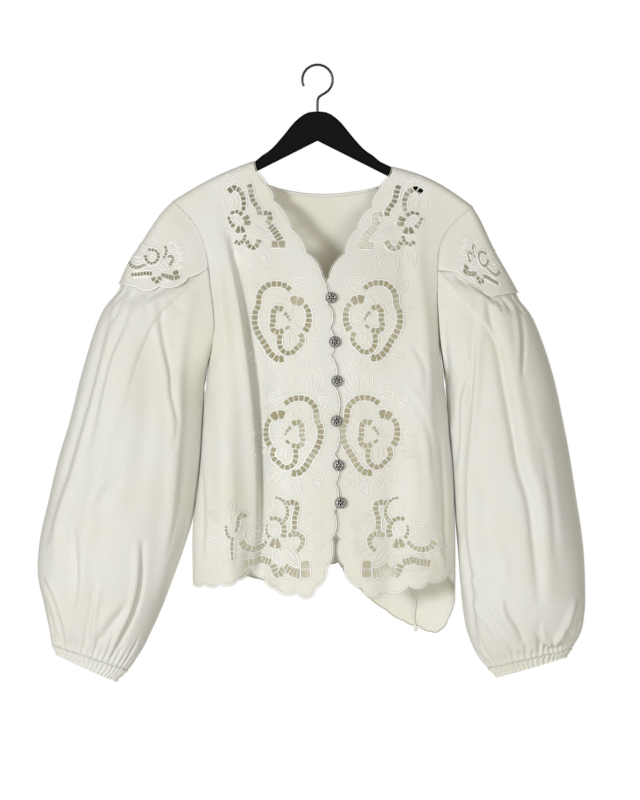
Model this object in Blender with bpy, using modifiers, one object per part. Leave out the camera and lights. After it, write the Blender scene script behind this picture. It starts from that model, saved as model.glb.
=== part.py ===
"""Cutwork blouse on a plain hanger, built as a maker cuts it: fronts, back, sleeves, caps and cuffs.

Tables and sizes are in millimetres, seen from the front: x runs to the viewer's right, drop runs down
from the inside top of the hanger's hook, and y runs from the front to the back. The model is in metres.
"""
import math
from collections import namedtuple

import bpy
import numpy as np
from mathutils import Vector
from mathutils.geometry import delaunay_2d_cdt

MM = 0.001
LEFT, RIGHT = -1, 1          # the viewer's left and right
FRONT, BACK = -1, 1

# Cloth and its clearances
WALL = 1.2                   # thickness of a cloth wall
HALF_SEAM = 0.25             # each side of a seam at the sides and shoulders
ARMHOLE_SEAM = 1.15          # from the middle of a panel's edge to the middle of the sleeve's
OVERLAP_LIFT = 2.4           # the upper front lies this far over the lower one
SHOULDER_ROLL = 11.0         # radius of the cloth where it turns over the hanger
FRONT_DEPTH, BACK_DEPTH = 46.0, 29.0
SIDE_POWER = 2.8             # roundness of the body towards its side seams
BAR = 1.5                    # stitched bar between two cut cells

# Shoulder line: a soft peak at the neck and straight slopes
SHOULDER_TOP, SHOULDER_SLOPE, SHOULDER_SOFT = 79.5, 0.52, 40.0

# Half width of the body at each drop
HALF_WIDTH = {
    LEFT: ((100, 236), (184, 230), (224, 207), (265, 186), (305, 175), (346, 165), (386, 152),
           (427, 150), (454, 153), (531, 158), (578, 163), (616, 168), (700, 169), (790, 169)),
    RIGHT: ((100, 246), (190, 240), (224, 216), (267, 195), (298, 186), (332, 181), (366, 176),
            (393, 172), (424, 170.8), (454, 172), (531, 177), (598, 181.5), (634, 183),
            (700, 187), (790, 187)),
}

# Armhole: x of the seam at each drop, from the shoulder tip to the underarm
ARMHOLE = {
    LEFT: ((183.4, -195.8), (212, -168.6), (238, -155.7), (264.6, -149.2), (297, -145.4),
           (336, -140.7), (362, -140.1), (388, -144), (410, -148.5), (426.6, -150)),
    RIGHT: ((190.6, 209.9), (217, 181.6), (244, 166.7), (267, 163.5), (298, 162.7),
            (332, 163.4), (366, 165.4), (393, 167.6), (410, 169.5), (424, 170.8)),
}

# Edges run down each front from the neck to the side: x, drop, and the bulge of the scallop that follows
Cusp = namedtuple("Cusp", "x drop bulge")
UPPER_FRONT_EDGE = [Cusp(*row) for row in (
    (-85.5, 144.5, 1.5), (-69.1, 164.7, 3), (-61, 184.3, 4.5), (-36.6, 223.8, 4.5), (-17.3, 256.5, 4.5),
    (4, 286.2, 3.5), (12.2, 325.4, 6.5), (14.3, 357, 6.5), (15.8, 394, 6.5), (21.5, 436, 6.5),
    (23, 481, 6.5), (20.9, 526.5, 6.5), (22.3, 565.7, 6.5), (19.6, 603.5, 6.5), (17, 640, 6),
    (9.9, 680, 5), (-3.9, 704.7, 11), (-27.4, 710, 6), (-54.9, 706, 3), (-70, 694, 3), (-90.7, 680.4, 3),
    (-108.7, 694, 5), (-131.5, 698, 5), (-152.7, 699, 4))]
UNDER_FRONT_EDGE = [Cusp(*row) for row in (
    (99.2, 151.7, 1.5), (84.4, 170.4, 3), (76.1, 193.6, 4.5), (55.2, 223.8, 4.5), (39, 257.6, 4.5),
    (18.1, 289, 4), (10, 325, 6), (8, 357, 6), (9, 394, 6), (14, 436, 6), (17, 481, 6), (18, 526, 6),
    (24, 566, 5), (29.4, 605, 6), (32.8, 640.7, 6), (37, 676, 6), (61.3, 706, 11), (90.3, 709.3, 7),
    (122.9, 702, 7), (149.2, 696.6, 7), (178.9, 683, 3))]
BACK_NECK = ((-88.8, 131), (-85, 145), (-69, 159.3), (-40, 168), (4, 172.8), (50, 169.5), (85, 161.5),
             (99, 149), (104.1, 137.5))
BACK_HEM = ((-169, 699), (-130, 697), (-90, 690), (-40, 680), (0, 673), (28, 675), (66, 719),
            (94, 741), (117, 755), (137, 762), (156, 770), (167, 768), (178, 752), (187, 722))
NECK_X = {LEFT: -88.8, RIGHT: 104.1}
UNDERARM_DROP = {LEFT: 426.6, RIGHT: 424.0}
UNDERARM_CLEAR = 1.7         # the sleeve leaves the side seam this far out
SIDE_HEM = {LEFT: 700.0, RIGHT: 700.0}

# Largest folds of the body: path (drop, x), depth (drop, mm, back when positive) and half width
Fold = namedtuple("Fold", "path depth width")
FOLDS = {
    FRONT: (
        Fold(((200, -124), (230, -112), (320, -95), (400, -84), (480, -80), (720, -78)),
             ((200, 0), (260, 8), (340, 16), (420, 24), (720, 26)), 22),
        Fold(((300, -121), (720, -121)), ((300, 0), (420, -9), (720, -13)), 32),
        Fold(((250, 145), (720, 145)), ((250, 0), (420, -7), (720, -8)), 30),
        Fold(((480, 104), (720, 98)), ((480, 0), (600, 6), (720, 8)), 17),
    ),
    BACK: (
        Fold(((300, -70), (760, -78)), ((300, 0), (460, -8), (760, -12)), 26),
        Fold(((320, 84), (760, 92)), ((320, 0), (480, -7), (760, -10)), 24),
        Fold(((300, 8), (760, 4)), ((300, 0), (500, 5), (760, 8)), 34),
    ),
}

# Sleeve rings from the armhole to the cuff: outer line, inner line and half depth
Ring = namedtuple("Ring", "out_x out_drop in_x in_drop depth")
SLEEVE_RINGS = {
    LEFT: [Ring(*row) for row in (
        (-195.8, 183.4, -150, 426.6, 30), (-207, 197, -154.2, 434, 33), (-238, 243, -157.3, 444, 42),
        (-256, 271, -159.3, 455, 47), (-268, 298, -161, 468, 51), (-292, 344, -163.4, 495, 57),
        (-313, 408, -167, 529, 62), (-333, 481, -172, 571, 66), (-351, 535, -177, 613, 68),
        (-365, 593, -185.5, 656, 69), (-378, 655, -197, 697, 67), (-379, 693, -210, 732, 61),
        (-371, 730, -225, 765.5, 51), (-364, 764, -241, 796.5, 37), (-360, 786, -258.5, 821, 24),
        (-353, 799, -274, 835, 18))],
    RIGHT: [Ring(*row) for row in (
        (209.9, 190.6, 170.8, 424, 30), (220.7, 214, 174.8, 431.5, 34), (241, 256.5, 178, 442, 43),
        (255.8, 282, 180, 452.5, 48), (270.7, 309, 181.5, 467, 52), (292, 352, 183.6, 491.5, 57),
        (312.5, 410, 186, 527, 62), (330, 481, 189, 571, 66), (342, 535, 191, 616, 68),
        (352, 595, 192.5, 660, 69), (361, 659, 194.5, 703, 67), (363, 701, 198, 740, 61),
        (362.5, 740, 205, 772, 51), (357, 769.5, 217, 799, 37), (345, 791, 232, 818, 24),
        (337, 802, 244, 829, 18))],
}
SLEEVE_BACK_SHARE = 0.85     # the back of a sleeve is flatter than its front
ARMHOLE_FADE = 150.0         # the armhole's own curve fades out over this much sleeve
SLEEVE_COLUMNS, CAP_COLUMNS = 46, 26
SLEEVE_ROWS, FIRST_ROW = 11, 17.0
CUFF_COLUMNS, CUFF_SINK = 44, 0.9
CAP_TURN = math.radians(75)  # the cap covers this much of the armhole each way from its top
CAP_LIFT, CAP_OVERLAP = 2.2, 8.0
CAP_SPREAD = 75.0            # mm of cap for each radian of turn, on its flat cloth

# Lower edge of each cap, as seen from the front: x, drop and bulge, from the outer line inwards
CAP_EDGE = {
    LEFT: [Cusp(*row) for row in (
        (-243.5, 304.7, 6), (-214.5, 300.8, 6), (-175.1, 288.5, 4))],
    RIGHT: [Cusp(*row) for row in (
        (242.3, 313, 6), (219, 302, 6), (199.6, 291, 4))],
}
CAP_OUTER_REACH = {LEFT: 128.0, RIGHT: 131.0}

# Cutwork: chains of cells between the points of a middle line, in mm from the motif's centre, up positive
Chain = namedtuple("Chain", "points cells width")
FLOWER = (
    Chain(((12, 44), (1, 50), (-11, 50), (-25, 43), (-31, 29), (-30, 20), (-37, 8), (-36, -7),
           (-31, -17), (-20, -36), (-10, -47), (1, -52)), 15, 6.6),
    Chain(((18, 30), (33, 20), (37, 4)), 3, 7.0),
    Chain(((13, -3), (6, 10), (-2, 17), (-9, 14), (-12, 4), (-13, -6), (-9, -14), (-1, -15), (8, -9)),
          8, 6.0),
    Chain(((-2, -23), (-2, -31), (2, -39), (10, -44), (19, -40), (26, -33), (28, -25), (24, -18)), 8, 6.0),
)
SHOULDER_SPRAY = (
    Chain(((-28, 36), (-21, 41), (-14, 36), (-9, 27), (-8, 16)), 5, 5.6),
    Chain(((-1, 42), (2, 34), (4, 23), (11, 12), (19, 6), (26, 3), (26, -7), (28, -15), (36, -22),
           (41, -35)), 12, 6.0),
    Chain(((-14, -31), (-5, -29), (0, -36), (7, -41), (13, -33)), 4, 6.2),
)
HEM_SPRAY = (
    Chain(((-19, 49), (-26, 44), (-24, 34), (-22, 24), (-22, 13), (-17, 6)), 6, 6.0),
    Chain(((10, 27), (3, 26), (-4, 20), (-7, 10), (-5, 1), (2, -6), (11, -3), (16, 7), (17, 17)), 8, 6.0),
    Chain(((19, -8), (28, -15), (38, -15), (48, -9), (51, 1)), 5, 6.0),
    Chain(((-37, -33), (-37, -41), (-30, -47), (-18, -42), (-10, -38), (-3, -45), (4, -44), (8, -35),
           (17, -32), (26, -28), (36, -32), (46, -33)), 12, 6.4),
)
CAP_SPRAY = (
    Chain(((33, 10), (23, 10)), 1, 5.0),
    Chain(((34, 3), (24, 2), (14, 4), (5, 1), (-3, 1), (-11, 6), (-19, 6)), 8, 5.2),
)
Motif = namedtuple("Motif", "chains x drop flip")
MOTIFS = {
    LEFT: (Motif(SHOULDER_SPRAY, -91, 206.6, 1), Motif(FLOWER, -48.6, 347, 1),
           Motif(FLOWER, -31.5, 500.9, -1), Motif(HEM_SPRAY, -31, 640, -1)),
    RIGHT: (Motif(SHOULDER_SPRAY, 103, 202, -1), Motif(FLOWER, 75.6, 345.6, -1),
            Motif(FLOWER, 70.5, 500.3, 1), Motif(HEM_SPRAY, 104.6, 640, 1)),
}
CAP_MOTIF = {LEFT: Motif(CAP_SPRAY, -226, 292, 1), RIGHT: Motif(CAP_SPRAY, 212, 296, -1)}

# Buttons, hanger and tie
BUTTON_PLACES = ((18.6, 315.9), (23.2, 375.3), (26.3, 428), (25.7, 482), (28.5, 541.8), (31.2, 592.1))
BUTTON_RADIUS, BUTTON_HEIGHT, BUTTON_GAP = 7.5, 5.5, 0.3
HANGER_TOP = ((0, 61.6), (15, 64), (30, 75), (47.5, 96), (64, 114), (75, 121.5))
HANGER_SHOULDER, HANGER_TIP, HANGER_STEPS = 85.0, 188.0, 13
HANGER_THICK, HANGER_BEVEL = 10.0, 2.5
HANGER_UNDER, HANGER_UNDER_SLOPE, HANGER_CLEAR = 101.8, 0.503, 1.0
WIRE_RADIUS, HOOK_INSIDE = 1.75, 19.0
TIE_ROUTE = ((130, 700), (131, 712), (133.5, 725), (133, 738), (131.5, 750), (134, 762))
TIE_RADIUS, KNOT_RADIUS = 1.5, 3.4
GRID_X, GRID_DROP = 15.0, 24.0


def smooth(low, high, value):
    """Ease from 0 at low to 1 at high."""
    part = np.clip((np.asarray(value, float) - low) / (high - low), 0, 1)
    return part * part * (3 - 2 * part)


def through(rows, at):
    """Smooth curve through the (place, value) rows, level beyond both ends."""
    place, value = np.array(rows, float).T
    slope = np.gradient(value, place)
    at = np.clip(np.asarray(at, float), place[0], place[-1])
    i = np.clip(np.searchsorted(place, at, side="right") - 1, 0, len(place) - 2)
    step = place[i + 1] - place[i]
    s = (at - place[i]) / step
    return ((1 + 2 * s) * (1 - s) ** 2 * value[i] + s * (1 - s) ** 2 * step * slope[i]
            + s * s * (3 - 2 * s) * value[i + 1] + s * s * (s - 1) * step * slope[i + 1])


def shoulder_drop(x):
    """Drop of the shoulder line at x."""
    return SHOULDER_TOP + SHOULDER_SLOPE * np.sqrt(np.asarray(x, float) ** 2 + SHOULDER_SOFT ** 2)


def half_width(x, drop):
    """Half width of the body on the side of x."""
    return np.where(np.asarray(x) < 0, through(HALF_WIDTH[LEFT], drop), through(HALF_WIDTH[RIGHT], drop))


def side_curve():
    """Length along a body section against its x, both as shares of the half width."""
    angle = np.linspace(0, math.pi / 2, 1500)
    x = np.sin(angle) ** (2 / SIDE_POWER)
    y = 0.3 * np.cos(angle) ** (2 / SIDE_POWER)
    length = np.concatenate(([0], np.cumsum(np.hypot(np.diff(x), np.diff(y)))))
    return length, x


SIDE_LENGTH, SIDE_X = side_curve()


def flat_place(x, drop):
    """Place on the flat cloth of a body point seen at x and drop."""
    x, drop = np.asarray(x, float), np.asarray(drop, float)
    width = half_width(x, drop)
    across = np.sign(x) * width * np.interp(np.abs(x) / width, SIDE_X, SIDE_LENGTH)
    line = shoulder_drop(x)
    below = np.clip(drop - line, 0, SHOULDER_ROLL)
    roll = SHOULDER_ROLL * np.arccos(1 - below / SHOULDER_ROLL)
    down = np.where(drop - line < SHOULDER_ROLL, line - roll_slack() + roll, drop)
    return np.stack((across, down), axis=-1)


def roll_slack():
    """How much longer the rolled shoulder is than its drop."""
    return SHOULDER_ROLL * (math.pi / 2 - 1)


def body_point(face, flat, lift=0.0):
    """Points (x, y, drop) of the body at flat places; lift moves them out of the cloth."""
    flat = np.asarray(flat, float)
    points = body_surface(face, flat)
    if np.any(lift):
        across = body_surface(face, flat + (0.5, 0)) - body_surface(face, flat - (0.5, 0))
        down = body_surface(face, flat + (0, 0.5)) - body_surface(face, flat - (0, 0.5))
        normal = np.cross(across, down) * -face
        normal /= np.linalg.norm(normal, axis=-1, keepdims=True)
        points = points + normal * np.reshape(lift, (-1, 1))
    return points


def body_surface(face, flat):
    """Middle surface of the front or the back at flat places."""
    across, down = flat[..., 0], flat[..., 1]
    width = half_width(across, down)
    share = np.interp(np.abs(across) / width, SIDE_LENGTH, SIDE_X)
    x = np.sign(across) * width * share
    round_off = np.clip(1 - share ** SIDE_POWER, 0, 1) ** (1 / SIDE_POWER)
    line = shoulder_drop(x)
    along = np.maximum(down - line + roll_slack(), 0)
    rolled = np.clip(along / SHOULDER_ROLL, 0, math.pi / 2)
    drop = np.where(along < SHOULDER_ROLL * math.pi / 2, line + SHOULDER_ROLL * (1 - np.cos(rolled)), down)
    keep = 1 - smooth(30, 150, along)
    depth = SHOULDER_ROLL * np.sin(rolled) * (round_off + (1 - round_off) * keep)
    full = FRONT_DEPTH if face == FRONT else BACK_DEPTH
    depth = depth + full * smooth(0, 230, along - SHOULDER_ROLL) * round_off
    y = face * (HALF_SEAM + depth)
    for fold in FOLDS[face]:
        away = (x - through(fold.path, down)) / fold.width
        y = y - face * through(fold.depth, down) * np.exp(-away * away) * np.minimum(1, 1.3 * round_off)
    return np.stack((x, y, drop), axis=-1)


def front_point(side, flat, lift=0.0):
    """Points of a front; the upper one lies over the lower one along the closure."""
    points = body_point(FRONT, flat, lift)
    if side == LEFT:
        points[..., 1] -= OVERLAP_LIFT * smooth(-28, -3, points[..., 0]) * smooth(240, 300, points[..., 2])
    return points


def armhole_place(side, turn, inset=0.0):
    """x and drop of the armhole seam at a turn of the sleeve."""
    rows = ARMHOLE[side]
    middle, half = (rows[0][0] + rows[-1][0]) / 2, (rows[-1][0] - rows[0][0]) / 2
    drop = middle - half * np.cos(turn)
    return through(rows, drop) - side * inset, drop


def armhole_point(side, turn):
    """Point of the armhole seam at a turn; positive turns are on the front."""
    x, drop = armhole_place(side, turn)
    flat = flat_place(x, drop)
    front, back = body_point(FRONT, flat), body_point(BACK, flat)
    point = np.where(np.sin(turn)[..., None] >= 0, front, back)
    point[..., 0] += side * UNDERARM_CLEAR * smooth(0.5, 0.95, -np.cos(turn))
    return point


def ring_reaches(side):
    """How far down the outer line each ring of a sleeve lies."""
    outer = np.array([(ring.out_x, ring.out_drop) for ring in SLEEVE_RINGS[side]])
    return np.concatenate(([0], np.cumsum(np.hypot(*np.diff(outer, axis=0).T))))


REACHES = {side: ring_reaches(side) for side in (LEFT, RIGHT)}


def plain_ring(side, turn, reach):
    """Point of the smooth sleeve before the armhole's own curve is added."""
    out_x, out_drop, in_x, in_drop, depth = (
        through(list(zip(REACHES[side], column)), reach) for column in zip(*SLEEVE_RINGS[side]))
    cos, sin = np.cos(turn), np.sin(turn)
    x = (out_x + in_x) / 2 + (out_x - in_x) / 2 * cos
    drop = (out_drop + in_drop) / 2 + (out_drop - in_drop) / 2 * cos
    y = -depth * sin * np.where(sin < 0, SLEEVE_BACK_SHARE, 1)
    return np.stack((x, y, drop), axis=-1)


def sleeve_surface(side, turn, reach):
    """Middle surface of a sleeve, which starts on the armhole seam."""
    turn, reach = np.broadcast_arrays(np.asarray(turn, float), np.asarray(reach, float))
    start = armhole_point(side, turn) - plain_ring(side, turn, np.zeros_like(turn))
    return plain_ring(side, turn, reach) + start * (1 - smooth(0, ARMHOLE_FADE, reach))[..., None]


def sleeve_point(side, turn, reach, lift=0.0):
    """Point of a sleeve, moved out of its surface by lift."""
    turn, reach = np.broadcast_arrays(np.asarray(turn, float), np.asarray(reach, float))
    round_it = sleeve_surface(side, turn + 0.01, reach) - sleeve_surface(side, turn - 0.01, reach)
    along = sleeve_surface(side, turn, reach + 0.5) - sleeve_surface(side, turn, np.maximum(reach - 0.5, 0))
    normal = np.cross(round_it, along) * -side
    normal /= np.linalg.norm(normal, axis=-1, keepdims=True)
    return sleeve_surface(side, turn, reach) + normal * np.broadcast_to(lift, turn.shape)[..., None]


def sleeve_place(side, x, drop):
    """Turn and reach of the front point of a sleeve that is seen at x and drop."""
    place = np.array((0.8, 80.0))
    for _ in range(40):
        here = sleeve_surface(side, *place)[[0, 2]]
        by_turn = (sleeve_surface(side, place[0] + 0.01, place[1])[[0, 2]] - here) / 0.01
        by_reach = (sleeve_surface(side, place[0], place[1] + 0.5)[[0, 2]] - here) / 0.5
        slope = np.stack((by_turn, by_reach), axis=1)
        step = np.linalg.lstsq(slope, np.array((x, drop)) - here, rcond=None)[0]
        place = place + np.clip(step, (-0.2, -15), (0.2, 15))
        place = np.clip(place, (0.05, 0.5), (1.5, 200))
    return place


def scalloped(cusps, side, per_scallop=2):
    """Outline through the cusps, with a round scallop between each two, bulging away from the panel."""
    outline = []
    for start, end in zip(cusps, cusps[1:]):
        run = np.array((end.x - start.x, end.drop - start.drop))
        out = np.array((run[1], -run[0])) * side / np.linalg.norm(run)
        outline.append((start.x, start.drop))
        for i in range(1, per_scallop + 1):
            part = i / (per_scallop + 1)
            rise = start.bulge * math.sin(math.pi * part) ** 0.7
            outline.append(tuple(np.array((start.x, start.drop)) + run * part + out * rise))
    outline.append((cusps[-1].x, cusps[-1].drop))
    return outline


def chain_cells(chain, bar=BAR):
    """Four corners of each cell of a chain, in the motif's own millimetres."""
    points = np.array(chain.points, float)
    spread = np.concatenate(([0], np.cumsum(np.hypot(*np.diff(points, axis=0).T))))
    pitch = spread[-1] / chain.cells
    cells = []
    for i in range(chain.cells):
        ends = []
        for at in (i * pitch + bar / 2, (i + 1) * pitch - bar / 2):
            middle = np.array([through(list(zip(spread, column)), at) for column in points.T])
            ahead = np.array([through(list(zip(spread, column)), at + 0.5) for column in points.T])
            behind = np.array([through(list(zip(spread, column)), at - 0.5) for column in points.T])
            run = ahead - behind
            across = np.array((-run[1], run[0])) / np.linalg.norm(run) * chain.width / 2
            ends.append((middle + across, middle - across))
        cells.append([ends[0][0], ends[0][1], ends[1][1], ends[1][0]])
    return cells


def motif_cells(motif):
    """Cells of a motif, as x and drop."""
    return [[(motif.x + motif.flip * corner[0], motif.drop - corner[1]) for corner in cell]
            for chain in motif.chains for cell in chain_cells(chain)]


def armhole_turns():
    """Turns of the sleeve's columns along one half of the armhole."""
    turns = sleeve_turns()
    return turns[(turns > 0.001) & (turns < math.pi - 0.001)]


def sleeve_turns():
    """Turns of the sleeve's columns: closer under the cap, where the cloth is gathered."""
    edge = math.radians(78)
    close = np.linspace(-edge, edge, CAP_COLUMNS + 1)
    wide = np.linspace(edge, 2 * math.pi - edge, SLEEVE_COLUMNS - CAP_COLUMNS + 1)[1:-1]
    turns = np.concatenate((close, wide))
    return np.where(turns > math.pi + 0.0001, turns - 2 * math.pi, turns)


def inside(points, loop):
    """Whether each point lies in a closed loop."""
    x, y = points[:, 0], points[:, 1]
    result = np.zeros(len(points), bool)
    for (x0, y0), (x1, y1) in zip(loop, np.roll(loop, -1, axis=0)):
        crosses = (y0 > y) != (y1 > y)
        if y0 != y1:
            result ^= crosses & (x < (x1 - x0) * (y - y0) / (y1 - y0) + x0)
    return result


def seam_guides(side):
    """Rows of flat places that keep the cloth round beside the shoulder and the side seam."""
    rows = []
    for roll in SHOULDER_ROLL * np.radians((24, 57, 90)):
        tip = ARMHOLE[side][0][1] - side * (6 + 0.7 * roll)
        xs = np.linspace(tip, NECK_X[side] + side * 8, 7)
        line = shoulder_drop(xs)
        rows.append(np.stack((flat_place(xs, line)[:, 0], line - roll_slack() + roll), axis=-1))
    drops = np.linspace(UNDERARM_DROP[side] + 16, SIDE_HEM[side] - 16, 9)
    places = flat_place(side * half_width(side, drops), drops)
    rows.append(places - (side * 9.0, 0))
    return rows


def sheet_mesh(outline, holes, guides, step_x, step_y):
    """Points and triangles of a flat cut with its holes, on a grid of the given steps and its guides."""
    loops = [np.array(outline)] + [np.array(hole) for hole in holes]
    fixed = np.concatenate(loops + list(guides))
    low, high = loops[0].min(axis=0), loops[0].max(axis=0)
    grid = np.stack(np.meshgrid(np.arange(low[0] + step_x / 2, high[0], step_x),
                                np.arange(low[1] + step_y / 2, high[1], step_y)), axis=-1).reshape(-1, 2)
    grid = grid[inside(grid, loops[0])]
    for hole in loops[1:]:
        grid = grid[~inside(grid, hole)]
    scale = np.array((step_x, step_y))
    gap = np.linalg.norm((grid[:, None] - fixed[None]) / scale, axis=-1).min(axis=1)
    grid = grid[gap > 0.42]
    edges, start = [], 0
    for loop in loops:
        edges += [(start + i, start + (i + 1) % len(loop)) for i in range(len(loop))]
        start += len(loop)
    for row in guides:
        edges += [(start + i, start + i + 1) for i in range(len(row) - 1)]
        start += len(row)
    points = [Vector(point) for point in np.concatenate((fixed, grid))]
    points, _, faces = delaunay_2d_cdt(points, edges, [], 0, 1e-6)[:3]
    points = np.array(points)
    faces = np.array(faces)
    middle = points[faces].mean(axis=1)
    keep = inside(middle, loops[0])
    for hole in loops[1:]:
        keep &= ~inside(middle, hole)
    return points, faces[keep]


def add_object(collection, name, mesh, material):
    """New object with one material in the blouse's collection."""
    mesh.materials.append(material)
    obj = bpy.data.objects.new(name, mesh)
    collection.objects.link(obj)
    return obj


def metres(points):
    """Blender places of (x, y, drop) points in millimetres."""
    return [(x * MM, y * MM, -drop * MM) for x, y, drop in points]


def cloth_wall(collection, name, points, faces, material, wall=WALL):
    """Cloth piece: an open middle surface with its wall."""
    used = np.unique(np.concatenate([np.ravel(face) for face in faces]))
    renumber = {old: new for new, old in enumerate(used)}
    mesh = bpy.data.meshes.new(name)
    mesh.from_pydata(metres(np.asarray(points)[used]), [],
                     [[renumber[i] for i in face] for face in faces])
    obj = add_object(collection, name, mesh, material)
    solidify = obj.modifiers.new("wall", "SOLIDIFY")
    solidify.thickness = wall * MM
    solidify.offset = 0
    return obj


def make_material(name, color, roughness, metallic=0.0):
    """Plain material with the part's colour."""
    material = bpy.data.materials.new(name)
    material.use_nodes = True
    shader = material.node_tree.nodes["Principled BSDF"]
    shader.inputs["Base Color"].default_value = (*color, 1)
    shader.inputs["Roughness"].default_value = roughness
    shader.inputs["Metallic"].default_value = metallic
    return material


def front_outline(side):
    """Outline of a front: edge from neck to side, side seam, armhole and shoulder."""
    edge = UPPER_FRONT_EDGE if side == LEFT else UNDER_FRONT_EDGE
    side_x = side * float(half_width(side, SIDE_HEM[side]))
    corner = Cusp(side_x, SIDE_HEM[side], 0)
    outline = neck_roll(side) + scalloped(edge + [corner], -side)
    return outline + side_and_shoulder(side)


def neck_roll(side):
    """Start of a neck edge, where it turns over the hanger."""
    top = float(shoulder_drop(NECK_X[side]))
    below = [SHOULDER_ROLL * (1 - math.cos(math.radians(angle))) for angle in (0, 24, 57, 85)]
    return [(NECK_X[side] - side * 0.2 * down, top + down) for down in below]


def side_and_shoulder(side):
    """Outline up the side seam, round the armhole and in along the shoulder."""
    drops = np.linspace(SIDE_HEM[side], UNDERARM_DROP[side], 13)[1:]
    outline = [(side * float(half_width(side, drop)), drop) for drop in drops]
    for turn in armhole_turns()[::-1]:
        x, drop = armhole_place(side, turn, ARMHOLE_SEAM)
        outline.append((float(x), max(float(drop), float(shoulder_drop(x)) + 0.3)))
    tip = ARMHOLE[side][0][1] - side * ARMHOLE_SEAM
    for x in np.linspace(tip, NECK_X[side], 9)[:-1]:
        outline.append((float(x), float(shoulder_drop(x))))
    return outline


def make_front(collection, name, side, material):
    """One front with its cutwork."""
    outline = front_outline(side)
    places = flat_place(*np.array(outline).T)
    holes = [flat_place(*np.array(cell).T) for motif in MOTIFS[side] for cell in motif_cells(motif)]
    points, faces = sheet_mesh(places, holes, seam_guides(side), GRID_X, GRID_DROP)
    return cloth_wall(collection, name, front_point(side, points), faces, material)


def make_back(collection, material):
    """The plain back, whose hem hangs lower on one side."""
    hem = [Cusp(x, drop, 2.0) for x, drop in BACK_HEM]
    hem = scalloped(hem, -1, 1)[1:-1]
    corner = [(side * float(half_width(side, drop)), drop)
              for side, drop in ((LEFT, BACK_HEM[0][1]), (RIGHT, BACK_HEM[-1][1]))]
    neck = neck_roll(LEFT) + list(BACK_NECK[1:-1]) + neck_roll(RIGHT)[::-1]
    outline = ([corner[0]] + hem + [corner[1]] + side_and_shoulder(RIGHT)
               + neck[::-1] + side_and_shoulder(LEFT)[::-1])
    places = flat_place(*np.array(outline).T)
    guides = seam_guides(LEFT) + seam_guides(RIGHT)
    points, faces = sheet_mesh(places, [], guides, 24.0, 40.0)
    return cloth_wall(collection, "back", body_point(BACK, points), faces, material)


def make_neck_binding(collection, material):
    """Narrow binding inside the back neck."""
    rows = [row for row in BACK_NECK[2:-2]]
    xs = np.linspace(rows[0][0] + 4, rows[-1][0] - 4, 23)
    edge = through(rows, xs)
    places = [flat_place(xs, edge + below) for below in (0.6, 4.4)]
    points = np.concatenate([body_point(BACK, place, -(WALL + 0.3)) for place in places])
    count = len(xs)
    faces = [(i, i + 1, count + i + 1, count + i) for i in range(count - 1)]
    return cloth_wall(collection, "neck_binding", points, faces, material)


def cap_outline(side):
    """Outline of a cap on its own flat cloth: turn in radians and reach in mm."""
    seen = [tuple(sleeve_place(side, cusp.x, cusp.drop)) + (cusp.bulge,) for cusp in CAP_EDGE[side]]
    front = [Cusp(0.0, CAP_OUTER_REACH[side], 5.0)] + [Cusp(*row) for row in seen]
    front.append(Cusp(CAP_TURN, 0.9, 0))
    return front


def cap_edge_reach(side, turn):
    """How far down the cap reaches at a turn, without its scallops."""
    cusps = cap_outline(side)
    return np.interp(np.abs(turn), [cusp.x for cusp in cusps], [cusp.drop for cusp in cusps], right=0)


def make_cap(collection, name, side, material):
    """Cap that lies smooth over the shoulder and ends in scallops over the gathered sleeve."""
    cusps = [Cusp(cusp.x * CAP_SPREAD, cusp.drop, cusp.bulge) for cusp in cap_outline(side)]
    edge = scalloped(cusps, -1)
    loop = edge + [(-x, reach) for x, reach in edge[-1:0:-1]]
    top = [turn * CAP_SPREAD for turn in sleeve_turns() if abs(turn) < CAP_TURN - 0.05]
    start = loop.index(edge[-1])
    loop = loop[:start + 1] + [(x, 0.0) for x in sorted(top, reverse=True)] + loop[start + 1:]
    holes = []
    for cell in motif_cells(CAP_MOTIF[side]):
        corners = [sleeve_place(side, x, drop) for x, drop in cell]
        holes.append([(turn * CAP_SPREAD, reach) for turn, reach in corners])
    points, faces = sheet_mesh(loop, holes, [], 14.0, 17.0)
    turn, reach = points[:, 0] / CAP_SPREAD, points[:, 1]
    lift = CAP_LIFT * smooth(0, 25, reach)
    return cloth_wall(collection, name, sleeve_point(side, turn, reach, lift), faces, material)


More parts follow.
